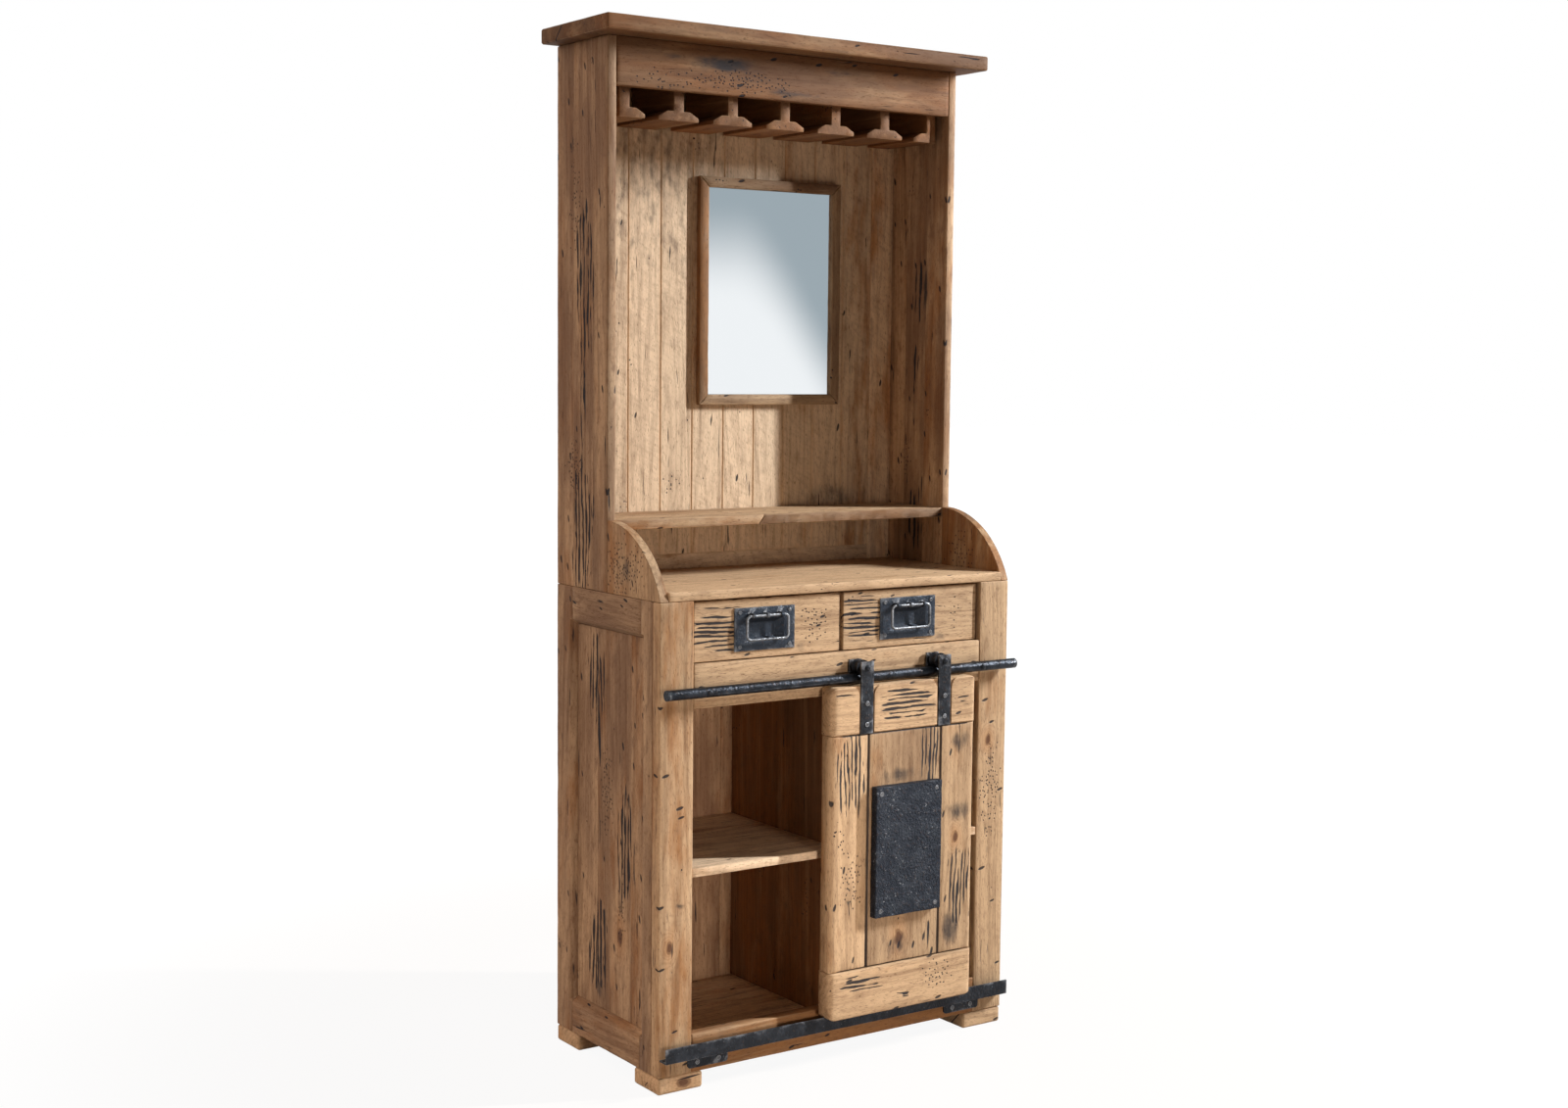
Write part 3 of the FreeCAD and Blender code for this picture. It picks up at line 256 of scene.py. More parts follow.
def wood_finish(name, shade=(1.0, 1.0, 1.0), weathering=0.0, curliness=0.0, struck=1.0, struck_across=False,
                cut_gap=0.0085, mottled=0.42):
    """Scrubbed old hardwood. It reads where each point lies in its board, the board's own tone and its marks."""
    s = timber()

    def make(t):
        grain = t.attribute("grain", 1)
        along, across, through = t.parts(grain)
        light, hue, figure = t.parts(t.attribute("tone", 1))
        streaked, stained, peppered = t.parts(t.attribute("marks", 0))
        edge = t.attribute("marks", 3)
        knot_along, knot_across, _ = t.parts(t.attribute("knot", 1))

        bent = t.grain_noise(grain, 60.0, 90.0, 2.0) - 0.5
        reach = (knot_along * knot_along * 0.3 + knot_across * knot_across) ** 0.5 + bent * 0.9
        bulge = t.step(reach, 4.0, 0.4)
        heart = t.step(reach, 1.0, 0.6)
        rim = t.step(reach, 1.25, 0.95) * (1.0 - heart)

        sway = t.grain_noise(grain, 1.7, 13.0, 3.0)
        ripple = t.grain_noise(grain, 9.0, 34.0, 2.0)
        radius = (across * across + through * through) ** 0.5
        rings = radius * 95.0 + sway * 7.0 + ripple * 0.8 + along * (figure - 0.5) * 2.0 + bulge * 4.5
        wave = t.node("ShaderNodeMath", {"operation": "SINE"}, {0: rings * 6.283})
        late = t.step(wave, -0.3, 1.0)
        band = t.grain_noise(grain, 2.2, 62.0, 3.0, 0.6)
        coarse = t.grain_noise(grain, 22.0, 210.0, 3.0, 0.65)
        fibre = t.grain_noise(grain, 45.0, 800.0, 3.0, 0.7)
        mottle = t.grain_noise(grain, 26.0, 62.0, 4.0, 0.65)
        pores = t.step(t.grain_noise(grain, 105.0, 700.0, 1.0), 0.6, 0.7)
        waved = t.node("ShaderNodeCombineXYZ", None,
                       {0: (along + across * 0.55) * 120.0, 1: (across - along * 0.12) * 34.0, 2: through * 34.0})
        curl = t.noise(waved, 2.0)
        curled = t.step(t.grain_noise(grain, 3.0, 9.0, 1.0) + curliness, 0.54, 0.72)
        blotch = t.grain_noise(grain, 4.2, 17.0, 4.0, 0.62)
        patch = t.grain_noise(grain, 2.4, 9.0, 4.0, 0.6)

        tint = t.mix(t.step(blotch + (hue - 0.5) * 0.4, 0.4, 0.66), opaque(s.pale), opaque(s.warm))
        tint = t.mix(t.step(patch - (light - 0.5) * 0.26 + weathering, 0.46, 0.72) * 0.85, tint, opaque(s.dull))
        lines = late * 0.17 + t.step(band, 0.48, 0.72) * 0.36 + t.step(coarse, 0.5, 0.8) * 0.3
        tint = t.mix(lines + t.step(fibre, 0.45, 0.8) * 0.2, tint, opaque(s.deep))
        tint = t.mix(t.step(mottle, 0.5, 0.72) * mottled, tint, opaque(s.dull))
        tint = t.mix(t.step(band, 0.46, 0.28) * 0.35, tint, opaque(s.pale))
        tint = t.mix((curl - 0.46) * curled * 0.75, tint, opaque(s.deep))
        tint = t.mix(pores * 0.5, tint, opaque(s.deep))
        dark = 0.58 + 0.31 * light
        grey = t.node("ShaderNodeCombineColor", None, {0: dark * shade[0], 1: dark * shade[1], 2: dark * shade[2]})
        tint = t.mix(1.0, tint, grey, "MULTIPLY")
        # Edges are painted paler: worn arrises, and a painted highlight along them
        tint = t.mix(t.step(edge + (ripple - 0.5) * 0.9, 0.55, 1.1) * 0.35, tint, opaque(s.pale))

        tint = t.mix(bulge * 0.4, tint, opaque(s.warm))
        tint = t.mix(rim * 0.7, tint, opaque(s.deep))
        tint = t.mix(heart * 0.85, tint, opaque(s.knot))

        cloud = t.grain_noise(grain, 26.0, 60.0, 3.0, 0.6)
        # The stain channel: real stains, and painted shade where a mark or a dark arris stands for shadow
        murk_and_painted_shade = t.step(stained + (cloud - 0.5) * 1.1, 0.25, 1.05)
        tint = t.mix(murk_and_painted_shade * 0.88, tint, opaque(s.soot_and_painted_shade))
        strayed = t.grain_noise(grain, 8.0, 42.0, 2.0)
        lined = t.node("ShaderNodeMath", {"operation": "SINE"},
                       {0: (across + through) * (math.tau / cut_gap) + strayed * 10.0})
        broken = t.grain_noise(grain, 19.0, 120.0, 2.0, 0.6)
        reached = streaked + (t.grain_noise(grain, 11.0, 125.0, 1.0) - 0.5) * 1.8
        cuts = t.step(lined + (broken - 0.5) * 5.5, 0.05, 0.5) * t.step(reached, 0.36, 0.46)
        tint = t.mix(cuts * 0.95, tint, opaque(s.soot_and_painted_shade))

        face = t.node("ShaderNodeCombineXYZ", None, {0: along * 115.0, 1: (across + through) * 150.0})
        holes = t.node("ShaderNodeTexVoronoi", {"voronoi_dimensions": "2D"}, {"Vector": face, "Scale": 1.0})
        drilled, _, _ = t.parts(Value(t, holes.socket.node.outputs["Color"]))
        sparse = t.step(t.grain_noise(grain, 8.0, 17.0, 2.0), 0.66, 0.74) * 0.5
        chosen = t.step(peppered + sparse + drilled * 0.9 + (cloud - 0.5) * 0.6, 0.95, 1.0)
        bored = t.step(holes, 0.27, 0.15) * chosen
        tint = t.mix(bored * 0.88, tint, opaque(s.soot_and_painted_shade))

        reach_long, reach_short = (across + through, along) if struck_across else (along, across + through)
        slant = reach_long * 0.97 + reach_short * 0.24
        width = reach_short * 0.97 - reach_long * 0.24
        spots = t.node("ShaderNodeCombineXYZ", None, {0: slant * 11.0, 1: width * 32.0})
        dents = t.node("ShaderNodeTexVoronoi", {"voronoi_dimensions": "2D"}, {"Vector": spots, "Scale": 1.0})
        chance = Value(t, dents.socket.node.outputs["Color"])
        size, small, _ = t.parts(chance)
        kept = 1.0 - t.step(size, 1.0 - 0.33 * struck, 1.01 - 0.33 * struck)
        dented = t.step(dents * 10.0 + (cloud - 0.5) * 0.8 + kept * 9.0 + small * 0.3, 1.05, 0.7)
        tint = t.mix(dented * 0.9, tint, opaque(s.soot_and_painted_shade))

        gone = cuts + bored + dented
        height = band * 0.35 + coarse * 0.4 + fibre * 0.25 + curl * curled * 0.25 - pores * 0.3 - gone * 1.6
        rough = 0.55 + coarse * 0.14 + pores * 0.1 + gone * 0.2
        t.surface(tint, rough, 0.0, height, 0.0011, 0.75, **{"Specular IOR Level": 0.15})

    return finish(name, make)


def iron_finish(name, base, metal, roughness, wear=1.0, grit=0.15, rust=0.0, flecks=0.0, depth=0.002):
    """Blackened iron, rubbed pale along its edges, where the pale is also a painted highlight."""
    s = iron()

    def make(t):
        place = t.node("ShaderNodeTexCoord", output=3)
        edge = t.attribute("marks", 3)
        cloud = t.noise(t.scaled(place, 38.0, 38.0, 38.0), 5.0, 0.7)
        grain = t.noise(t.scaled(place, 420.0, 420.0, 420.0), 3.0, 0.6)
        pits = t.noise(t.scaled(place, 190.0, 190.0, 190.0), 2.0)
        chips_and_glints = t.noise(t.scaled(place, 260.0, 260.0, 260.0), 1.0)
        # Edges go pale: rubbed wear, and a painted highlight along them
        rubbed = t.step(edge * wear + (cloud - 0.5) * 1.2, 0.35, 0.9)
        tint = t.mix(t.step(cloud, 0.4, 0.68) * 0.45, opaque(base), opaque(s.bare))
        tint = t.mix(rubbed * 0.9, tint, opaque(s.worn))
        # Pale flecks: bare specks, and painted glints
        tint = t.mix(t.step(chips_and_glints + (cloud - 0.5) * 0.3, 0.7, 0.78) * flecks, tint, opaque(s.worn))
        tint = t.mix(t.step(pits, 0.56, 0.74) * (0.25 + rust), tint, opaque(s.rust))
        rough = roughness + (cloud - 0.5) * 0.3 + grain * 0.08 - rubbed * 0.08
        t.surface(tint, rough, metal, grain * grit + pits * 0.8 + cloud * 0.6, depth, 0.9,
                  **{"Specular IOR Level": 0.15})

    return finish(name, make)


def mirror_finish():
    s = iron()

    def make(t):
        place = t.node("ShaderNodeTexCoord", output=3)
        haze = t.noise(t.scaled(place, 9.0, 9.0, 9.0), 2.0)
        t.surface(opaque(s.glass), 0.015 + haze * 0.02, 1.0, haze, 0.00001, 0.1)

    return finish("silvered_glass", make)


def stations(low, high, radius, cell, extra=()):
    """Places along one edge of a board: close together where its arrises round, about a cell apart between."""
    span = high - low
    steps = max(1, round((span - 2 * radius) / cell))
    ends = [radius * (1 - math.tan(math.radians(angle))) for angle in (45.0, 22.5)]
    middle = low + np.linspace(radius, span - radius, steps + 1)
    extra = np.array([place for place in extra if low + radius < place < high - radius])
    if extra.size:
        clear = np.abs(middle[:, None] - extra).min(1) > 0.001
        clear[[0, -1]] = True
        middle = np.sort(np.concatenate([middle[clear], extra]))
    return np.concatenate([low + np.array(ends), middle, high - np.array(ends[::-1])])


def rounded_box(low, high, radius, cell, along, extra=None):
    """Points, faces, outward directions and edge weights of a board with rounded arrises."""
    cells = [max(cell, 0.012)] * 3
    cells[along] = cell
    radius = min(radius, 0.45 * min(high[axis] - low[axis] for axis in range(3)))
    extra = extra or {}
    places = [stations(low[axis], high[axis], radius, cells[axis], extra.get(axis, ())) for axis in range(3)]
    points, faces, start = [], [], 0
    for axis in range(3):
        b, c = (axis + 1) % 3, (axis + 2) % 3
        grid = np.meshgrid(places[b], places[c], indexing="ij")
        index = np.arange(grid[0].size).reshape(grid[0].shape)
        quads = np.stack([index[:-1, :-1], index[1:, :-1], index[1:, 1:], index[:-1, 1:]], -1).reshape(-1, 4)
        for side in (0, -1):
            flat = np.empty((grid[0].size, 3))
            flat[:, axis] = places[axis][side]
            flat[:, b] = grid[0].ravel()
            flat[:, c] = grid[1].ravel()
            points.append(flat)
            faces.append(start + (quads if side else quads[:, ::-1]))
            start += len(flat)
    points = np.concatenate(points)
    faces = np.concatenate(faces)
    _, first, inverse = np.unique(np.round(points, 7), axis=0, return_index=True, return_inverse=True)
    points = points[first]
    faces = inverse.reshape(-1)[faces]
    core = np.clip(points, np.array(low) + radius, np.array(high) - radius)
    away = points - core
    away /= np.maximum(np.linalg.norm(away, axis=1), 1e-9)[:, None]
    edges = np.clip((1.0 - np.abs(away).max(1)) / (1.0 - math.sqrt(0.5)), 0.0, 1.0)
    return core + away * radius, faces.tolist(), away, edges


def solids(node):
    """The separate solids of a frame's node, as points and faces. A solid ends where its faces have closed."""
    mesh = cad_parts[node].data
    places = np.empty(3 * len(mesh.vertices))
    mesh.vertices.foreach_get("co", places)
    places, welded = np.unique(np.round(places.reshape(-1, 3), 6), axis=0, return_inverse=True)
    welded = welded.reshape(-1)
    found, faces, loose = [], [], set()
    for face in mesh.polygons:
        ring = [int(welded[index]) for index in face.vertices]
        for start, end in zip(ring, ring[1:] + ring[:1]):
            if (end, start) in loose:
                loose.remove((end, start))
            else:
                loose.add((start, end))
        faces.append(ring)
        if not loose:
            used = sorted({index for ring in faces for index in ring})
            order = {index: place for place, index in enumerate(used)}
            found.append((places[used], [[order[index] for index in ring] for ring in faces]))
            faces = []
    return found


def softened(solid, corners_at, radius):
    """Rounds upright outer corners further. Each corner is a place in x and y and the way out of it."""
    points, faces, away, edges = solid
    points, away, edges = points.copy(), away.copy(), edges.copy()
    for x, y, out_x, out_y in corners_at:
        u = radius - (x - points[:, 0]) * out_x
        v = radius - (y - points[:, 1]) * out_y
        reach = np.hypot(u, v)
        inside = (u > 0) & (v > 0)
        moved = inside & (reach > radius)
        share = np.where(moved, radius / np.maximum(reach, 1e-9), 1.0)
        points[inside, 0] = x - out_x * (radius - u[inside] * share[inside])
        points[inside, 1] = y - out_y * (radius - v[inside] * share[inside])
        edges[inside] = np.maximum(edges[inside], 0.45)
    return points, faces, away, edges


def carried(node, radius, cell, along, across_cell=0.014, sharp=22.0, extra=None):
    """The solids of a frame's node, each with its arrises rounded and its faces divided into cells."""
    found = []
    whole = bpy.data.meshes.new("whole")
    for places, shell in solids(node):
        whole.clear_geometry()
        whole.from_pydata(places.tolist(), [], shell)
        part = bmesh.new()
        part.from_mesh(whole)
        bmesh.ops.dissolve_limit(part, angle_limit=math.radians(1.0), verts=part.verts, edges=part.edges)
        keen = [edge for edge in part.edges
                if len(edge.link_faces) == 2 and edge.calc_face_angle() > math.radians(sharp)]
        if radius and keen:
            bmesh.ops.bevel(part, geom=keen, offset=radius, segments=2, profile=0.5, affect="EDGES",
                            clamp_overlap=True)
        for axis in range(3):
            low = min(vert.co[axis] for vert in part.verts)
            high = max(vert.co[axis] for vert in part.verts)
            size = cell if axis == along else across_cell
            count = round((high - low) / size)
            normal = Vector([float(axis == other) for other in range(3)])
            even = [low + (high - low) * index / count for index in range(1, count)]
            more = [place for place in (extra or {}).get(axis, ()) if low < place < high]
            for place in [place for place in even if all(abs(place - other) > 0.001 for other in more)] + more:
                bmesh.ops.bisect_plane(part, geom=part.verts[:] + part.edges[:] + part.faces[:],
                                       dist=1e-6, plane_co=normal * place, plane_no=normal)
        bmesh.ops.remove_doubles(part, verts=part.verts, dist=1e-6)
        part.normal_update()
        part.verts.index_update()
        points = np.array([vert.co for vert in part.verts], float)
        away = np.array([vert.normal for vert in part.verts], float)
        edges = np.array([
            min(1.0, max([0.0] + [vert.normal.angle(face.normal, 0.0) for face in vert.link_faces]) / 0.4)
            for vert in part.verts
        ])
        faces = [[vert.index for vert in face.verts] for face in part.faces]
        found.append((points, faces, away, edges))
        part.free()
    bpy.data.meshes.remove(whole)
    return found


def soft_places(soft):
    """Where a solid is divided more finely so that its soft corners come out round."""
    places = {ACROSS: [], DEEP: []}
    for x, y, out_x, out_y in soft:
        for share in (0.12, 0.3, 0.55, 0.8, 1.05):
            places[ACROSS].append(x - out_x * share * timber().door_arris)
            places[DEEP].append(y - out_y * share * timber().door_arris)
    return places


class Mark:
    """A mark on a board: streaks, stain or pepper, where it lies, and how far it reaches each way. Stain marks are
    also used for painted shade.
    """

    # The stain channel also carries painted shade
    CHANNELS = {"streaks": 0, "stain": 1, "pepper": 2}

    def __init__(self, kind, place, reach, strength=1.0):
        self.channel = self.CHANNELS[kind]
        self.place = np.array(place)
        self.reach = np.array(reach)
        self.strength = strength

    def weight(self, points):
        away = np.linalg.norm((points - self.place) / self.reach, axis=1)
        return self.strength * np.clip(1.35 - away, 0.0, 1.0)


class Piece:
    """Solids that become one object, with what the finishes read at each point."""

    def __init__(self, name):
        self.name = name
        self.points = []
        self.faces = []
        self.grain = []
        self.tone = []
        self.marks = []
        self.knot = []
        self.count = 0
        self.random = np.random.default_rng(sum(ord(letter) * (place + 3) for place, letter in enumerate(name)))

    def add(self, solid, along=ACROSS, wear=None, marks=(), knot=None, stained_arris=0.0, light=None,
            flat_grain=None, seams=(), unstained=(), hue=None, ripple=None):
        """Adds one solid, aged by wear along its edges. The grain runs along the given axis, seams divide it."""
        points, faces, away, edges = solid
        wear = timber().wear if wear is None else wear
        dip, waves = ripple or (timber().swell, 19.0)
        origin = points.copy()
        shift = Vector(self.random.uniform(-40.0, 40.0, 3))
        if wear or dip:
            dips = np.empty(len(points))
            for index, point in enumerate(points):
                spot = Vector(point) * 1.0 + shift
                dips[index] = (
                    edges[index] * wear * (0.35 + 1.1 * abs(noise.noise(spot * 55.0)))
                    + edges[index] * wear * 2.2 * max(0.0, noise.noise(spot * 24.0) - 0.33)
                    + dip * (0.5 + noise.noise(spot * waves))
                )
            points = points - away * np.clip(dips, 0.0, 0.004)[:, None]
        across, through = [axis for axis in range(3) if axis != along]
        spans = np.ptp(origin, axis=0)
        if spans[across] < spans[through] or flat_grain == through:
            across, through = through, across
        middle = (origin.max(0) + origin.min(0)) / 2
        from_middle = origin - middle
        grain = np.empty_like(points)
        tones = np.empty_like(points)
        stave = np.searchsorted(np.array(seams), origin[:, across]) if len(seams) else np.zeros(len(points), int)
        for index in range(len(seams) + 1):
            mine = stave == index
            tilt = self.random.uniform(-0.03, 0.03)
            heart_across = self.random.uniform(-0.5, 0.5) * spans[across]
            heart_through = self.random.uniform(0.02, 0.07)
            grain[mine, 0] = origin[mine, along] + self.random.uniform(0.0, 60.0)
            grain[mine, 1] = from_middle[mine, across] - heart_across + from_middle[mine, along] * tilt
            grain[mine, 2] = from_middle[mine, through] + heart_through
            tone = self.random.uniform(0.0, 1.0, 3)
            if light is not None:
                tone[0] = light + (tone[0] - 0.5) * 0.3
            if hue is not None:
                tone[1] = hue + (tone[1] - 0.5) * 0.3
            tones[mine] = tone
        painted = np.zeros((len(points), 4))
        painted[:, 3] = edges
        # Dark arrises go into the stain channel: stain in joints, and painted shade in gaps and grooves
        painted[:, 1] = edges * stained_arris
        for x in unstained:
            painted[np.abs(origin[:, 0] - x) < 0.02, 1] = 0.0
        for mark in marks:
            painted[:, mark.channel] = np.maximum(painted[:, mark.channel], mark.weight(origin))
        knots = np.full(points.shape, 9.0)
        if knot is not None:
            place, radius = knot
            from_knot = (origin - np.array(place)) / radius
            knots[:, 0] = from_knot[:, along]
            knots[:, 1] = from_knot[:, across]
        self.points.append(points)
        self.faces += [[index + self.count for index in face] for face in faces]
        self.grain.append(grain)
        self.tone.append(tones)
        self.marks.append(painted)
        self.knot.append(knots)
        self.count += len(points)

    def board(self, low, high, along, radius=None, cell=None, staves=1, soft=(), **how):
        """Adds one straight board between two corners, glued up from staves, with some corners rounder."""
        radius = timber().arris if radius is None else radius
        cell = timber().cell if cell is None else cell
        across = max((axis for axis in range(3) if axis != along), key=lambda axis: high[axis] - low[axis])
        shares = np.cumsum(self.random.uniform(0.7, 1.3, staves))
        seams = low[across] + (high[across] - low[across]) * shares[:-1] / shares[-1]
        extra = {across: [seam + side for seam in seams for side in (-0.0002, 0.0002)]}
        for axis, places in soft_places(soft).items():
            extra.setdefault(axis, []).extend(places)
        solid = rounded_box(low, high, radius, cell, along, extra)
        if soft:
            solid = softened(solid, soft, timber().door_arris)
        self.add(solid, along, seams=seams, **how)

    def done(self, material, body, slot, *nodes, keen=38.0):
        """Makes the object, which rides on its body and stands for the nodes."""
        mesh = bpy.data.meshes.new(self.name)
        mesh.from_pydata(np.concatenate(self.points).tolist(), [], self.faces)
        mesh.validate()
        for name, kind, values in (
            ("grain", "FLOAT_VECTOR", self.grain), ("tone", "FLOAT_VECTOR", self.tone),
            ("marks", "FLOAT_COLOR", self.marks), ("knot", "FLOAT_VECTOR", self.knot),
        ):
            field = mesh.attributes.new(name, kind, "POINT")
            key = "color" if kind == "FLOAT_COLOR" else "vector"
            field.data.foreach_set(key, np.concatenate(values).astype(np.float32).ravel())
        mesh.polygons.foreach_set("use_smooth", [True] * len(mesh.polygons))
        mesh.set_sharp_from_angle(angle=math.radians(keen))
        mesh.materials.append(material)
        made = bpy.data.objects.new(self.name, mesh)
        bpy.context.scene.collection.objects.link(made)
        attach(made, body)
        if nodes:
            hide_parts(*nodes)
        return made


def corners(node):
    low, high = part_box(node)
    return np.array(low), np.array(high)


def outside_wood():
    return wood_finish("scrubbed_wood")


def shaded_wood():
    return wood_finish("inside_wood", tuple(timber().inside), 0.05, struck=0.1)


def dark_wood():
    return wood_finish("dark_wood", (1.1, 0.96, 0.83), -0.04, struck=0.5)


def side_wood():
    return wood_finish("side_wood", (1.08, 1.07, 1.1), weathering=0.1, cut_gap=0.0125, mottled=0.8)


def struck_wood():
    return wood_finish("struck_wood", struck_across=True)


def rippled_wood():
    return wood_finish("rippled_wood", (1.28, 1.41, 1.6), -0.06, 0.24, struck=0.2)


def back_wood():
    return wood_finish("back_wood", (1.1, 0.99, 0.95), 0.05, struck=0.0)


def plain_board(node, along, material, slot, body="cabinet", **how):
    """One board in the place of a node that is a single straight board."""
    low, high = corners(node)
    piece = Piece(f"{node}_board")
    piece.board(low, high, along, **how)
    return piece.done(material, body, slot, node)


def carried_wood(node, along, material, slot, body="cabinet", radius=0.0008, cell=None, soft=(), **how):
    """The solids of a node in worn wood."""
    piece = Piece(f"{node}_wood")
    for solid in carried(node, radius, cell or timber().cell, along, extra=soft_places(soft)):
        piece.add(softened(solid, soft, timber().door_arris) if soft else solid, along, **how)
    return piece.done(material, body, slot, node)


class BuildPiece(bpy.types.Operator):
    """What the operators of this file have in common"""

    bl_options = {"REGISTER", "UNDO"}

    def execute(self, context):
        self.build()
        return {"FINISHED"}


class CABINET_OT_face_frame(BuildPiece):
    """Build the feet, the stiles and the rails of the front"""

    bl_idname = "cabinet.face_frame"
    bl_label = "Face Frame"
    foot_width = 0.094
    foot_round = 0.005

    def build(self):
        wood = outside_wood()
        for node in ("front_feet", "rear_feet"):
            low, high = corners(node)
            piece = Piece(f"{node}_blocks")
            knot = ((-0.3408, low[1], 0.0157), 0.008) if node == "front_feet" else None
            for near, far, found in ((low[0], low[0] + self.foot_width, knot),
                                     (high[0] - self.foot_width, high[0], None)):
                piece.board((near, low[1], low[2]), (far, high[1], high[2]), ACROSS,
                            radius=self.foot_round, knot=found, light=1.3, hue=0.2, flat_grain=UPRIGHT)
            piece.done(wood, "cabinet", "face_wood", node)
        front = corners("front_left_stile")[0][1]
        marks = [
            Mark("stain", (-0.35, front, 0.31), (0.02, 0.02, 0.012), 0.5),
            Mark("stain", (-0.352, front, 0.337), (0.012, 0.02, 0.006), 0.9),
        ]
        plain_board("front_left_stile", UPRIGHT, struck_wood(), "face_wood", marks=marks, light=0.75,
                    hue=0.35, knot=((-0.3729, front, 0.2657), 0.006))
        marks = [
            Mark("pepper", (0.358, front, 0.47), (0.022, 0.02, 0.08), 1.0),
            Mark("stain", (0.352, front, 0.352), (0.012, 0.02, 0.006), 0.9),
            Mark("stain", (0.345, front, 0.262), (0.012, 0.02, 0.005), 0.9),
        ]
        plain_board("front_right_stile", UPRIGHT, struck_wood(), "face_wood", marks=marks, light=0.82,
                    hue=0.4, knot=((0.3507, front, 0.57), 0.006))
        plain_board("drawer_rail", ACROSS, wood, "face_wood", light=0.9, hue=0.2)
        plain_board("front_bottom_rail", ACROSS, wood, "face_wood", light=0.7)


class CABINET_OT_sides(BuildPiece):
    """Build the framed side panels of the lower cabinet"""

    bl_idname = "cabinet.sides"
    bl_label = "Side Panels"

    def build(self):
        wood = side_wood()
        for name, side in (("left", -1), ("right", 1)):
            piece = Piece(f"{name}_side_frame_wood")
            for solid in carried(f"{name}_side_frame", 0.0012, timber().cell, UPRIGHT, 0.012):
                spans = np.ptp(solid[0], axis=0)
                piece.add(solid, UPRIGHT if spans[2] > spans[1] else DEEP, flat_grain=ACROSS, light=0.5)
            piece.done(wood, "cabinet", "face_wood", f"{name}_side_frame")
            face = corners(f"{name}_side_panel")[0 if side < 0 else 1][0]
            marks = [
                Mark("streaks", (face, 0.087, 0.71), (0.02, 0.034, 0.075), 1.3),
                Mark("streaks", (face, 0.074, 0.63), (0.02, 0.009, 0.07), 1.1),
                Mark("streaks", (face, -0.0185, 0.42), (0.02, 0.026, 0.095), 1.3),
                Mark("streaks", (face, 0.079, 0.215), (0.02, 0.032, 0.085), 1.3),
                Mark("stain", (face, 0.075, 0.135), (0.02, 0.014, 0.02), 0.8),
                Mark("pepper", (face, 0.05, 0.50), (0.02, 0.022, 0.09), 0.8),
                Mark("pepper", (face, 0.0, 0.30), (0.02, 0.02, 0.06), 0.6),
            ]
            plain_board(f"{name}_side_panel", UPRIGHT, wood, "face_wood", marks=marks, light=0.5,
                        hue=0.3, knot=((face, 0.0, 0.25), 0.009), radius=0.0005, cell=0.007, staves=4)


class CABINET_OT_inside(BuildPiece):
    """Build the floor, the partition, the shelves, the back and the drawer runners"""

    bl_idname = "cabinet.inside"
    bl_label = "Inside"
    flat = (0.0, 1.0)

    def build(self):
        wood = shaded_wood()
        pale = rippled_wood()
        plain_board("bottom_board", ACROSS, pale, "inner_wood", cell=0.02, light=1.3, hue=0.3)
        carried_wood("partition", UPRIGHT, wood, "inner_wood", radius=0.0012, cell=0.02, light=0.2)
        for node in ("left_shelf", "right_shelf"):
            carried_wood(node, ACROSS, pale, "inner_wood", radius=0.0012, cell=0.02, light=0.9, hue=0.3)
        carried_wood("lower_back", UPRIGHT, back_wood(), "inner_wood", radius=0.0004, cell=0.03, light=0.45,
                     wear=0.0002, ripple=self.flat)
        carried_wood("drawer_runners", DEEP, wood, "inner_wood", radius=0.0008, cell=0.03)


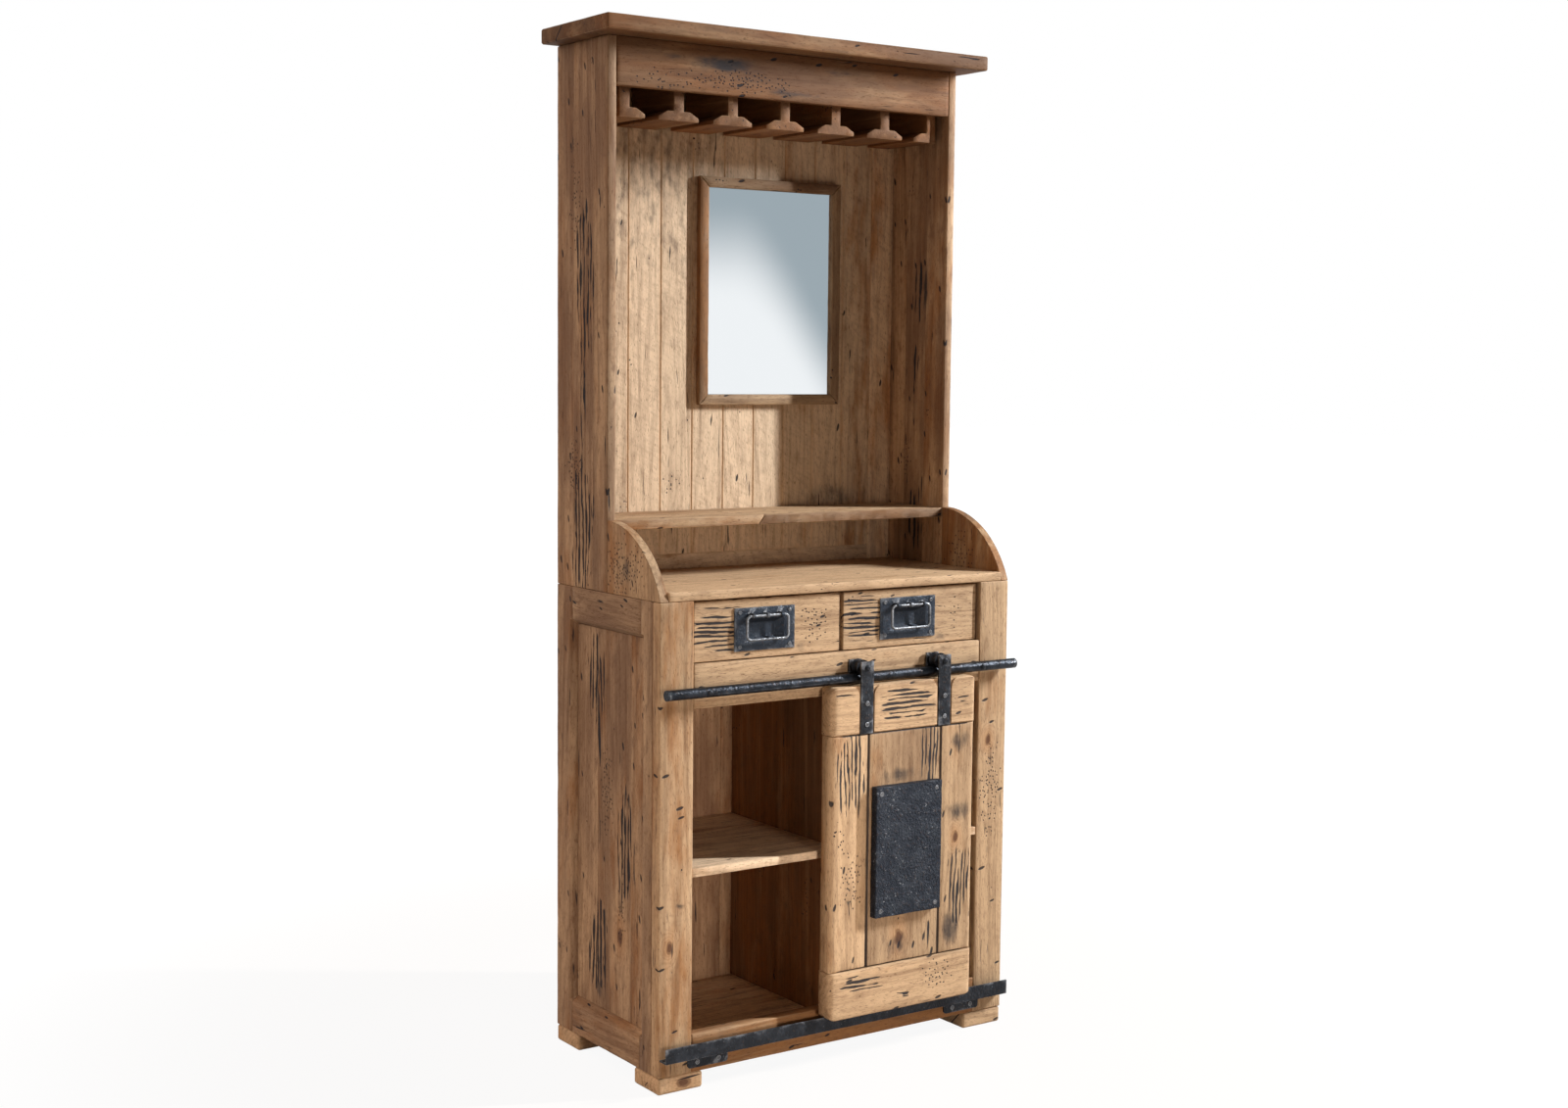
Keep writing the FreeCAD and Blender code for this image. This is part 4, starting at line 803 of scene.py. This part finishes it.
class CABINET_OT_hutch(BuildPiece):
    """Build the counter, the hutch's sides with their curved cheeks, the fascia and the top"""

    bl_idname = "cabinet.hutch"
    bl_label = "Hutch"

    def build(self):
        wood = outside_wood()
        plain_board("counter_board", ACROSS, wood, "face_wood", light=1.1, hue=0.15, staves=4)
        for name, side in (("left", -1), ("right", 1)):
            outer = corners(f"hutch_{name}_side")[0 if side < 0 else 1][0]
            marks = [
                Mark("streaks", (outer, 0.1085, 1.45), (0.02, 0.032, 0.115), 1.3),
                Mark("streaks", (outer, 0.117, 0.98), (0.02, 0.034, 0.12), 1.3),
                Mark("stain", (outer, 0.09, 1.72), (0.02, 0.02, 0.05), 0.45),
                Mark("streaks", (outer, 0.118, 1.22), (0.02, 0.007, 0.22), 0.9),
                Mark("pepper", (outer, 0.15, 1.6), (0.02, 0.02, 0.12), 0.6),
                Mark("pepper", (outer, 0.15, 1.1), (0.02, 0.025, 0.05), 0.9),
            ]
            if side > 0:
                marks.append(Mark("stain", (corners(f"hutch_{name}_side")[0][0], 0.0926, 1.45),
                                  (0.01, 0.003, 0.06), 1.0))
            plain_board(f"hutch_{name}_side", UPRIGHT, side_wood(), "face_wood", marks=marks, light=0.5 if side < 0 else 0.75, hue=0.35, cell=0.007,
                        staves=3)
            marks = [
                Mark("stain", (outer, -0.04, 0.925), (0.02, 0.045, 0.035), 0.6),
                Mark("pepper", (outer, -0.03, 0.93), (0.02, 0.06, 0.05), 1.0),
            ]
            carried_wood(f"{name}_bracket", UPRIGHT, wood, "face_wood", marks=marks, radius=0.0008,
                         light=0.55)
        front = corners("fascia")[0][1]
        marks = [
            Mark("stain", (-0.14, front, 1.84), (0.085, 0.02, 0.016), 1.0),
            Mark("stain", (-0.26, front, 1.845), (0.03, 0.02, 0.01), 0.6),
            Mark("stain", (0.0, front, 1.80), (0.07, 0.02, 0.011), 0.7),
            Mark("stain", (0.12, front, 1.85), (0.05, 0.02, 0.01), 0.6),
            Mark("pepper", (-0.12, front, 1.812), (0.12, 0.02, 0.02), 1.0),
            Mark("pepper", (-0.29, front, 1.80), (0.05, 0.02, 0.015), 0.8),
        ]
        wood = dark_wood()
        plain_board("fascia", ACROSS, wood, "face_wood", marks=marks, light=-0.2, hue=0.9, cell=0.007)
        plain_board("top_board", ACROSS, wood, "face_wood", radius=0.0035, light=-0.35, hue=0.8, staves=3)


class CABINET_OT_hutch_back(BuildPiece):
    """Build the framed and planked back of the hutch"""

    bl_idname = "cabinet.hutch_back"
    bl_label = "Hutch Back"
    # Planks to the right of this place are painted darker and warmer, as painted shade
    painted_shade_from = 0.08
    flat = (0.0, 1.0)

    def build(self):
        wood = rippled_wood()
        piece = Piece("hutch_back_frame_wood")
        for solid in carried("hutch_back_frame", 0.0006, 0.014, UPRIGHT):
            spans = np.ptp(solid[0], axis=0)
            upright = spans[2] > spans[0]
            piece.add(solid, UPRIGHT if upright else ACROSS, wear=0.0003, light=1.5 if upright else 0.7, hue=0.3)
        piece.done(wood, "cabinet", "inner_wood", "hutch_back_frame")
        front = corners("hutch_back_planks")[0][1]
        piece = Piece("hutch_back_planks_wood")
        marks = [
            Mark("stain", (-0.30, front, 1.03), (0.07, 0.02, 0.02), 0.5),
            Mark("stain", (0.24, front, 1.03), (0.12, 0.02, 0.03), 0.6),
            # The wide mark high on the back is painted shade: darker towards the top, under the glass rails
            Mark("stain", (-0.2, front, 1.8), (0.2, 0.02, 0.45), 0.5),
        ]
        for solid in carried("hutch_back_planks", 0.0, 0.014, UPRIGHT):
            # Planks right of the shadow's edge get a darker, warmer tone: painted shade where the hutch's right side
            # shades the back
            in_painted_shade = solid[0][:, 0].mean() > self.painted_shade_from
            piece.add(solid, UPRIGHT, marks=marks, wear=0.0, ripple=self.flat,
                      light=0.85 if in_painted_shade else 0.95, hue=0.4 if in_painted_shade else 0.0)
        piece.done(wood, "cabinet", "inner_wood", "hutch_back_planks")


class CABINET_OT_hutch_shelf(BuildPiece):
    """Build the hutch's shelf with its scarfed lipping"""

    bl_idname = "cabinet.hutch_shelf"
    bl_label = "Hutch Shelf"

    def build(self):
        plain_board("hutch_shelf", ACROSS, outside_wood(), "inner_wood", light=0.55, hue=0.2, cell=0.015, staves=2)
        carried_wood("shelf_lipping", ACROSS, outside_wood(), "face_wood", radius=0.0015)


class CABINET_OT_glass_rails(BuildPiece):
    """Build the rails for stemmed glasses"""

    bl_idname = "cabinet.glass_rails"
    bl_label = "Glass Rails"

    def build(self):
        carried_wood("glass_rails", DEEP, dark_wood(), "face_wood", radius=0.0012, cell=0.012, light=-0.1,
                     hue=0.8)


class CABINET_OT_mirror(BuildPiece):
    """Build the mitred mirror frame and its glass"""

    bl_idname = "cabinet.mirror"
    bl_label = "Mirror"

    def build(self):
        piece = Piece("mirror_frame_wood")
        for solid in carried("mirror_frame", 0.0016, 0.012, UPRIGHT, 0.012):
            spans = np.ptp(solid[0], axis=0)
            piece.add(solid, UPRIGHT if spans[2] > spans[0] else ACROSS, light=0.2)
        piece.done(outside_wood(), "cabinet", "face_wood", "mirror_frame")
        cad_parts["mirror_glass"].data.materials.clear()
        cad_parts["mirror_glass"].data.materials.append(mirror_finish())


class CABINET_OT_door(BuildPiece):
    """Build the boards of the sliding door"""

    bl_idname = "cabinet.door"
    bl_label = "Sliding Door"

    def build(self):
        wood = outside_wood()
        (left, face, _), (right, rear, _) = corners("door_top_rail")
        planks = corners("door_left_plank")[0][1]
        rail_soft = [(x, y, side, out) for x, side in ((left, -1), (right, 1)) for y, out in ((face, -1), (rear, 1))]
        marks = [
            Mark("streaks", (0.11, face, 0.667), (0.062, 0.02, 0.028), 1.1),
            Mark("streaks", (0.252, face, 0.667), (0.014, 0.02, 0.014), 0.8),
            Mark("stain", (-0.047, face, 0.642), (0.01, 0.02, 0.005), 0.8),
        ]
        carried_wood("door_top_rail", ACROSS, wood, "face_wood", "door", radius=0.0022, cell=0.007,
                     marks=marks, light=1.0, hue=0.05, soft=rail_soft)
        marks = [
            Mark("streaks", (0.02, face, 0.15), (0.05, 0.02, 0.016), 1.0),
            Mark("streaks", (0.12, face, 0.118), (0.02, 0.02, 0.004), 0.9),
            Mark("pepper", (0.2, face, 0.142), (0.035, 0.02, 0.025), 1.0),
            Mark("stain", (0.215, face, 0.17), (0.03, 0.02, 0.006), 0.5),
        ]
        carried_wood("door_bottom_rail", ACROSS, wood, "face_wood", "door", radius=0.0022, cell=0.007,
                     marks=marks, light=1.0, hue=0.05, soft=rail_soft)
        planks_marks = {
            "left": ([
                Mark("streaks", (-0.01, planks, 0.55), (0.036, 0.02, 0.072), 1.1),
                Mark("pepper", (-0.008, planks, 0.34), (0.024, 0.02, 0.055), 1.0),
                Mark("stain", (-0.02, planks, 0.222), (0.005, 0.02, 0.009), 1.0),
                Mark("stain", (-0.012, planks, 0.305), (0.009, 0.02, 0.006), 0.9),
            ], None, 0.95, None),
            "middle": ([
                Mark("streaks", (0.178, planks, 0.58), (0.026, 0.02, 0.06), 1.1),
                Mark("streaks", (0.18, planks, 0.215), (0.018, 0.02, 0.03), 0.55),
                Mark("stain", (0.105, planks, 0.535), (0.05, 0.02, 0.016), 0.75),
                Mark("stain", (0.10, planks, 0.21), (0.04, 0.02, 0.028), 0.65),
            ], ((0.105, planks, 0.222), 0.009), 0.42, 0.1),
            "right": ([
                Mark("stain", (0.243, planks, 0.585), (0.026, 0.02, 0.026), 0.75),
                Mark("stain", (0.245, planks, 0.452), (0.034, 0.02, 0.024), 0.8),
                Mark("streaks", (0.247, planks, 0.31), (0.026, 0.02, 0.075), 1.1),
                Mark("stain", (0.228, planks, 0.225), (0.022, 0.02, 0.038), 1.0),
            ], ((0.238, planks, 0.4), 0.006), 0.8, 0.2),
        }
        plank_rear = corners("door_left_plank")[1][1]
        for name, (marks, knot, light, hue) in planks_marks.items():
            soft = [(x, y, side, out) for x, side, where in ((left, -1, "left"), (right, 1, "right"))
                    for y, out in ((planks, -1), (plank_rear, 1)) if where == name]
            outer = [corner[0] for corner in soft[:1]]
            # The inner arrises of the planks are painted dark: stain in the joints and painted shade in their grooves
            plain_board(f"door_{name}_plank", UPRIGHT, wood, "face_wood", "door", marks=marks, knot=knot,
                        light=light, hue=hue, stained_arris=3.2, cell=0.007, radius=0.0042, soft=soft,
                        unstained=outer)


class CABINET_OT_drawers(BuildPiece):
    """Build the drawer fronts and boxes"""

    bl_idname = "cabinet.drawers"
    bl_label = "Drawers"

    def build(self):
        for name in ("left", "right"):
            low, high = corners(f"{name}_drawer_front")
            body = f"{name}_drawer"
            front = low[1]
            marks = [
                Mark("streaks", (low[0] + 0.042, front, 0.822), (0.052, 0.02, 0.038), 1.0),
                Mark("pepper", (high[0] - 0.06, front, 0.825), (0.03, 0.02, 0.035), 0.8 if name == "left" else 0.3),
                Mark("stain", (high[0] - 0.09, front, 0.782), (0.014, 0.02, 0.012), 0.6),
            ]
            # The arrises of the drawer fronts are painted dark: painted shade in the gaps round the drawers
            carried_wood(f"{name}_drawer_front", ACROSS, outside_wood(), "face_wood", body, radius=0.0008,
                         cell=0.007, marks=marks, light=0.85, hue=0.05, stained_arris=1.3)
            for node in (f"{name}_drawer_box", f"{name}_drawer_bottom"):
                piece = Piece(f"{node}_wood")
                for solid in carried(node, 0.0005, 0.03, DEEP, 0.03):
                    spans = np.ptp(solid[0], axis=0)
                    piece.add(solid, DEEP if spans[1] > spans[0] else ACROSS, light=0.8)
                piece.done(shaded_wood(), body, "inner_wood", node)


def black_iron():
    return iron_finish("blackened_gear", iron().black, 0.45, 0.42, flecks=0.25)


def turned_iron():
    return iron_finish("turned_gear", iron().black, 0.45, 0.42, wear=0.3, flecks=0.1)


def worn_iron():
    return iron_finish("worn_pipe", iron().black, 0.85, 0.34, wear=1.1)


def carried_iron(node, body, material, slot, radius=None, cell=0.012, ripple=(0.0, 1.0)):
    """The solids of a node in iron, with softened edges."""
    piece = Piece(f"{node}_iron")
    radius = iron().arris if radius is None else radius
    for solid in carried(node, radius, cell, ACROSS, cell):
        piece.add(solid, wear=0.0, ripple=ripple)
    return piece.done(material, body, slot, node)


def turned(profile, segments=28):
    """A turned solid about the upright axis from radius and height pairs, with its arris weights."""
    angles = np.linspace(0.0, math.tau, segments, endpoint=False)
    points, faces, edges = [], [], []
    for radius, height, edge in profile:
        for angle in angles:
            points.append((radius * math.cos(angle), radius * math.sin(angle), height))
            edges.append(edge)
    for ring in range(len(profile) - 1):
        for index in range(segments):
            after = (index + 1) % segments
            faces.append([ring * segments + index, ring * segments + after,
                          (ring + 1) * segments + after, (ring + 1) * segments + index])
    for ring, turn in ((0, -1), (len(profile) - 1, 1)):
        faces.append([ring * segments + index for index in range(segments)][::turn])
    return np.array(points), faces, np.array(edges)


def ringed_screws(node, body, head, material):
    """Screws with a ring turned in their heads, in the places of a node's plain ones."""
    piece = Piece(f"{node}_ringed")
    for places, _ in solids(node):
        low, high = places.min(0), places.max(0)
        radius = (high[0] - low[0]) / 2
        tall = high[1] - low[1]
        middle = (low + high) / 2
        profile = [(radius * share, tall - head * drop, edge) for share, drop, edge in (
            (1.0, 1.0, 0.0), (1.0, 0.35, 0.7), (0.93, 0.1, 1.0), (0.8, 0.0, 1.0), (0.68, 0.05, 0.8),
            (0.6, 0.6, 0.0), (0.5, 0.6, 0.0), (0.42, 0.15, 0.8), (0.22, 0.02, 0.9), (0.12, 0.6, 0.0),
        )]
        points, faces, edges = turned([(radius * 0.5, 0.0, 0.0), (radius * 0.5, tall - head, 0.0)] + profile)
        placed = np.stack([middle[0] + points[:, 0], high[1] - points[:, 2], middle[2] + points[:, 1]], -1)
        piece.add((placed, faces, np.zeros_like(placed), edges), wear=0.0, ripple=(0.0, 1.0))
    return piece.done(material, body, "black_iron", node)


class CABINET_OT_door_gear(BuildPiece):
    """Build the pipe, its stand-offs, the hangers and the guide"""

    bl_idname = "cabinet.door_gear"
    bl_label = "Door Gear"

    def build(self):
        dark = black_iron()
        turned_dark = turned_iron()
        worn = worn_iron()
        for node, body in (("hanger_straps", "door"), ("bottom_guide", "cabinet")):
            carried_iron(node, body, dark, "black_iron")
        carried_iron("rail_pipe", "cabinet", worn, "worn_iron", 0.0006)
        ringed_screws("hanger_bolts", "door", 0.0015, dark)
        ringed_screws("guide_screws", "cabinet", 0.0015, dark)
        for node, material in (
            ("pipe_plugs", turned_dark), ("pipe_standoffs", turned_dark), ("pipe_bolts", turned_dark),
            ("roller_axles", turned_dark), ("left_roller", turned_dark), ("right_roller", turned_dark),
        ):
            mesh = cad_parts[node].data
            mesh.materials.clear()
            mesh.materials.append(material)


class CABINET_OT_door_plate(BuildPiece):
    """Build the bare cast plate on the door and its screws"""

    bl_idname = "cabinet.door_plate"
    bl_label = "Cast Plate"

    def build(self):
        # The cast skin's many pale flecks are partly painted glints
        cast = iron_finish("cast_skin", iron().cast, 0.4, 0.45, grit=0.5, rust=0.0, flecks=0.7, depth=0.005)
        carried_iron("door_plate", "door", cast, "cast_iron", 0.0012, 0.006, (iron().cast_dip, 70.0))
        ringed_screws("plate_screws", "door", 0.002, black_iron())


class CABINET_OT_handles(BuildPiece):
    """Build the drawers' pressed handles with their bails"""

    bl_idname = "cabinet.handles"
    bl_label = "Drop Handles"

    def build(self):
        dark = iron_finish("pressed_skin", iron().pressed, 0.45, 0.42, flecks=0.25)
        # The bails' pale edges are wear and a painted highlight
        bright = iron_finish("worn_bail", iron().black, 0.65, 0.42, wear=0.75)
        for name in ("left", "right"):
            carried_iron(f"{name}_handle_plate", f"{name}_drawer", dark, "black_iron", 0.0004)
            ringed_screws(f"{name}_handle_screws", f"{name}_drawer", 0.0015, dark)
            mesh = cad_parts[f"{name}_bail"].data
            mesh.materials.clear()
            mesh.materials.append(bright)


class CABINET_OT_studio(BuildPiece):
    """Build the floor, the lights and the camera"""

    bl_idname = "cabinet.studio"
    bl_label = "Studio"
    floor_half = 30.0
    aim_height = 0.95
    fill_aim = (-0.1, 0.0, 0.38)
    fill_spread = math.radians(22.0)

    def build(self):
        scene = bpy.context.scene
        s = studio()
        scene.view_settings.view_transform = "Standard"

        mesh = bpy.data.meshes.new("floor")
        half = self.floor_half
        mesh.from_pydata([(-half, -half, 0), (half, -half, 0), (half, half, 0), (-half, half, 0)], [], [(0, 1, 2, 3)])
        floor = bpy.data.objects.new("floor", mesh)
        scene.collection.objects.link(floor)

        def make(t):
            seen = t.node("ShaderNodeLightPath", output=0)
            gloss = Value(t, seen.socket.node.outputs["Is Glossy Ray"])
            clear = Value(t, seen.socket.node.outputs["Is Transmission Ray"])
            paint = t.node("ShaderNodeBsdfDiffuse", None, {"Color": (0.43, 0.36, 0.3, 1.0)})
            glow = t.node("ShaderNodeEmission", None, {"Color": (1.0, 1.0, 1.0, 1.0), "Strength": 1.08})
            spread = t.node("ShaderNodeVectorMath", {"operation": "LENGTH"},
                            {0: t.node("ShaderNodeNewGeometry", output=0)}, 1)
            share = (seen + gloss * 0.85 + clear) * (0.86 + 0.14 * t.step(spread, 0.8, 2.6))
            mixed = t.node("ShaderNodeMixShader", None, {0: share, 1: paint, 2: glow})
            t.node("ShaderNodeOutputMaterial", None, {"Surface": mixed})

        mesh.materials.append(finish("studio_floor", make))

        world = bpy.data.worlds.new("studio")
        scene.world = world
        t = Tree(world)
        seen = t.node("ShaderNodeLightPath", output=0)
        gloss = Value(t, seen.socket.node.outputs["Is Glossy Ray"])
        clear = Value(t, seen.socket.node.outputs["Is Transmission Ray"])
        across, depth, height = t.parts(t.node("ShaderNodeTexCoord", output=0))
        window = t.step(0.77 - height * 9.6 - t.step(across, 0.545, 0.61) * 0.9, 0.02, 0.5)
        shine = t.mix(window, (0.38, 0.44, 0.475, 1.0), (1.0, 1.0, 1.0, 1.0))
        white = t.mix(gloss, (1.0, 1.0, 1.0, 1.0), shine)
        pale = t.step(across, 0.15, -0.7) * t.step(depth, -0.6, 0.3) * s.pale_wall
        plain = t.node("ShaderNodeBackground", None, {"Color": (1.0, 0.79, 0.65, 1.0), "Strength": pale + s.room})
        shown = t.node("ShaderNodeBackground", None, {"Color": white, "Strength": 1.0})
        mixed = t.node("ShaderNodeMixShader", None, {0: seen + gloss + clear, 1: plain, 2: shown})
        t.node("ShaderNodeOutputWorld", None, {"Surface": mixed})

        for name, place, width, height, power, tint in (
            ("key", s.key_place, s.key_width, s.key_height, s.key_power, (0.97, 0.985, 1.0)),
            ("fill", s.fill_place, s.fill_size, s.fill_size, s.fill_power, (1.0, 0.88, 0.78)),
        ):
            lamp = bpy.data.lights.new(name, "AREA")
            lamp.shape = "RECTANGLE"
            lamp.size = width
            lamp.size_y = height
            lamp.energy = power
            lamp.color = tint
            aim = (0.0, 0.0, self.aim_height)
            if name == "fill":
                lamp.spread = self.fill_spread
                aim = self.fill_aim
            stand = bpy.data.objects.new(name, lamp)
            stand.location = place
            stand.rotation_euler = (Vector(place) - Vector(aim)).to_track_quat("Z", "Y").to_euler()
            scene.collection.objects.link(stand)

        camera = bpy.data.objects.new("camera", bpy.data.cameras.new("camera"))
        camera.data.lens = s.lens
        turn, tilt = s.camera_turn, s.camera_tilt
        forward = Vector((math.sin(turn) * math.cos(tilt), math.cos(turn) * math.cos(tilt), -math.sin(tilt)))
        level = Vector((math.cos(turn), -math.sin(turn), 0.0))
        above = level.cross(forward)
        right = level * math.cos(s.camera_roll) - above * math.sin(s.camera_roll)
        above = right.cross(forward)
        turned = Matrix((right, above, -forward)).transposed()
        camera.matrix_world = Matrix.Translation(s.camera_place) @ turned.to_4x4()
        scene.collection.objects.link(camera)
        scene.camera = camera


OPERATORS = (
    CABINET_OT_face_frame,
    CABINET_OT_sides,
    CABINET_OT_inside,
    CABINET_OT_hutch,
    CABINET_OT_hutch_back,
    CABINET_OT_hutch_shelf,
    CABINET_OT_glass_rails,
    CABINET_OT_mirror,
    CABINET_OT_door,
    CABINET_OT_drawers,
    CABINET_OT_door_gear,
    CABINET_OT_door_plate,
    CABINET_OT_handles,
    CABINET_OT_studio,
)
SETTINGS = {
    "cabinet_timber": TimberSettings,
    "cabinet_iron": IronSettings,
    "cabinet_studio": StudioSettings,
}


class CABINET_PT_sidebar(bpy.types.Panel):
    """The cabinet's settings and the pieces that can be built"""

    bl_idname = "CABINET_PT_sidebar"
    bl_label = "Bar Cabinet"
    bl_space_type = "VIEW_3D"
    bl_region_type = "UI"
    bl_category = "Bar Cabinet"

    def draw(self, context):
        for name, group in SETTINGS.items():
            column = self.layout.column()
            for key in group.__annotations__:
                column.prop(getattr(context.scene, name), key)
        for operator in OPERATORS:
            self.layout.operator(operator.bl_idname)


def register():
    for group in SETTINGS.values():
        bpy.utils.register_class(group)
    for operator in OPERATORS:
        bpy.utils.register_class(operator)
    bpy.utils.register_class(CABINET_PT_sidebar)
    for name, group in SETTINGS.items():
        setattr(bpy.types.Scene, name, PointerProperty(type=group))


def unregister():
    for name in SETTINGS:
        delattr(bpy.types.Scene, name)
    bpy.utils.unregister_class(CABINET_PT_sidebar)
    for operator in reversed(OPERATORS):
        bpy.utils.unregister_class(operator)
    for group in SETTINGS.values():
        bpy.utils.unregister_class(group)


def main():
    register()
    for operator in OPERATORS:
        group, name = operator.bl_idname.split(".")
        getattr(getattr(bpy.ops, group), name)()


if __name__ == "__main__":
    main()
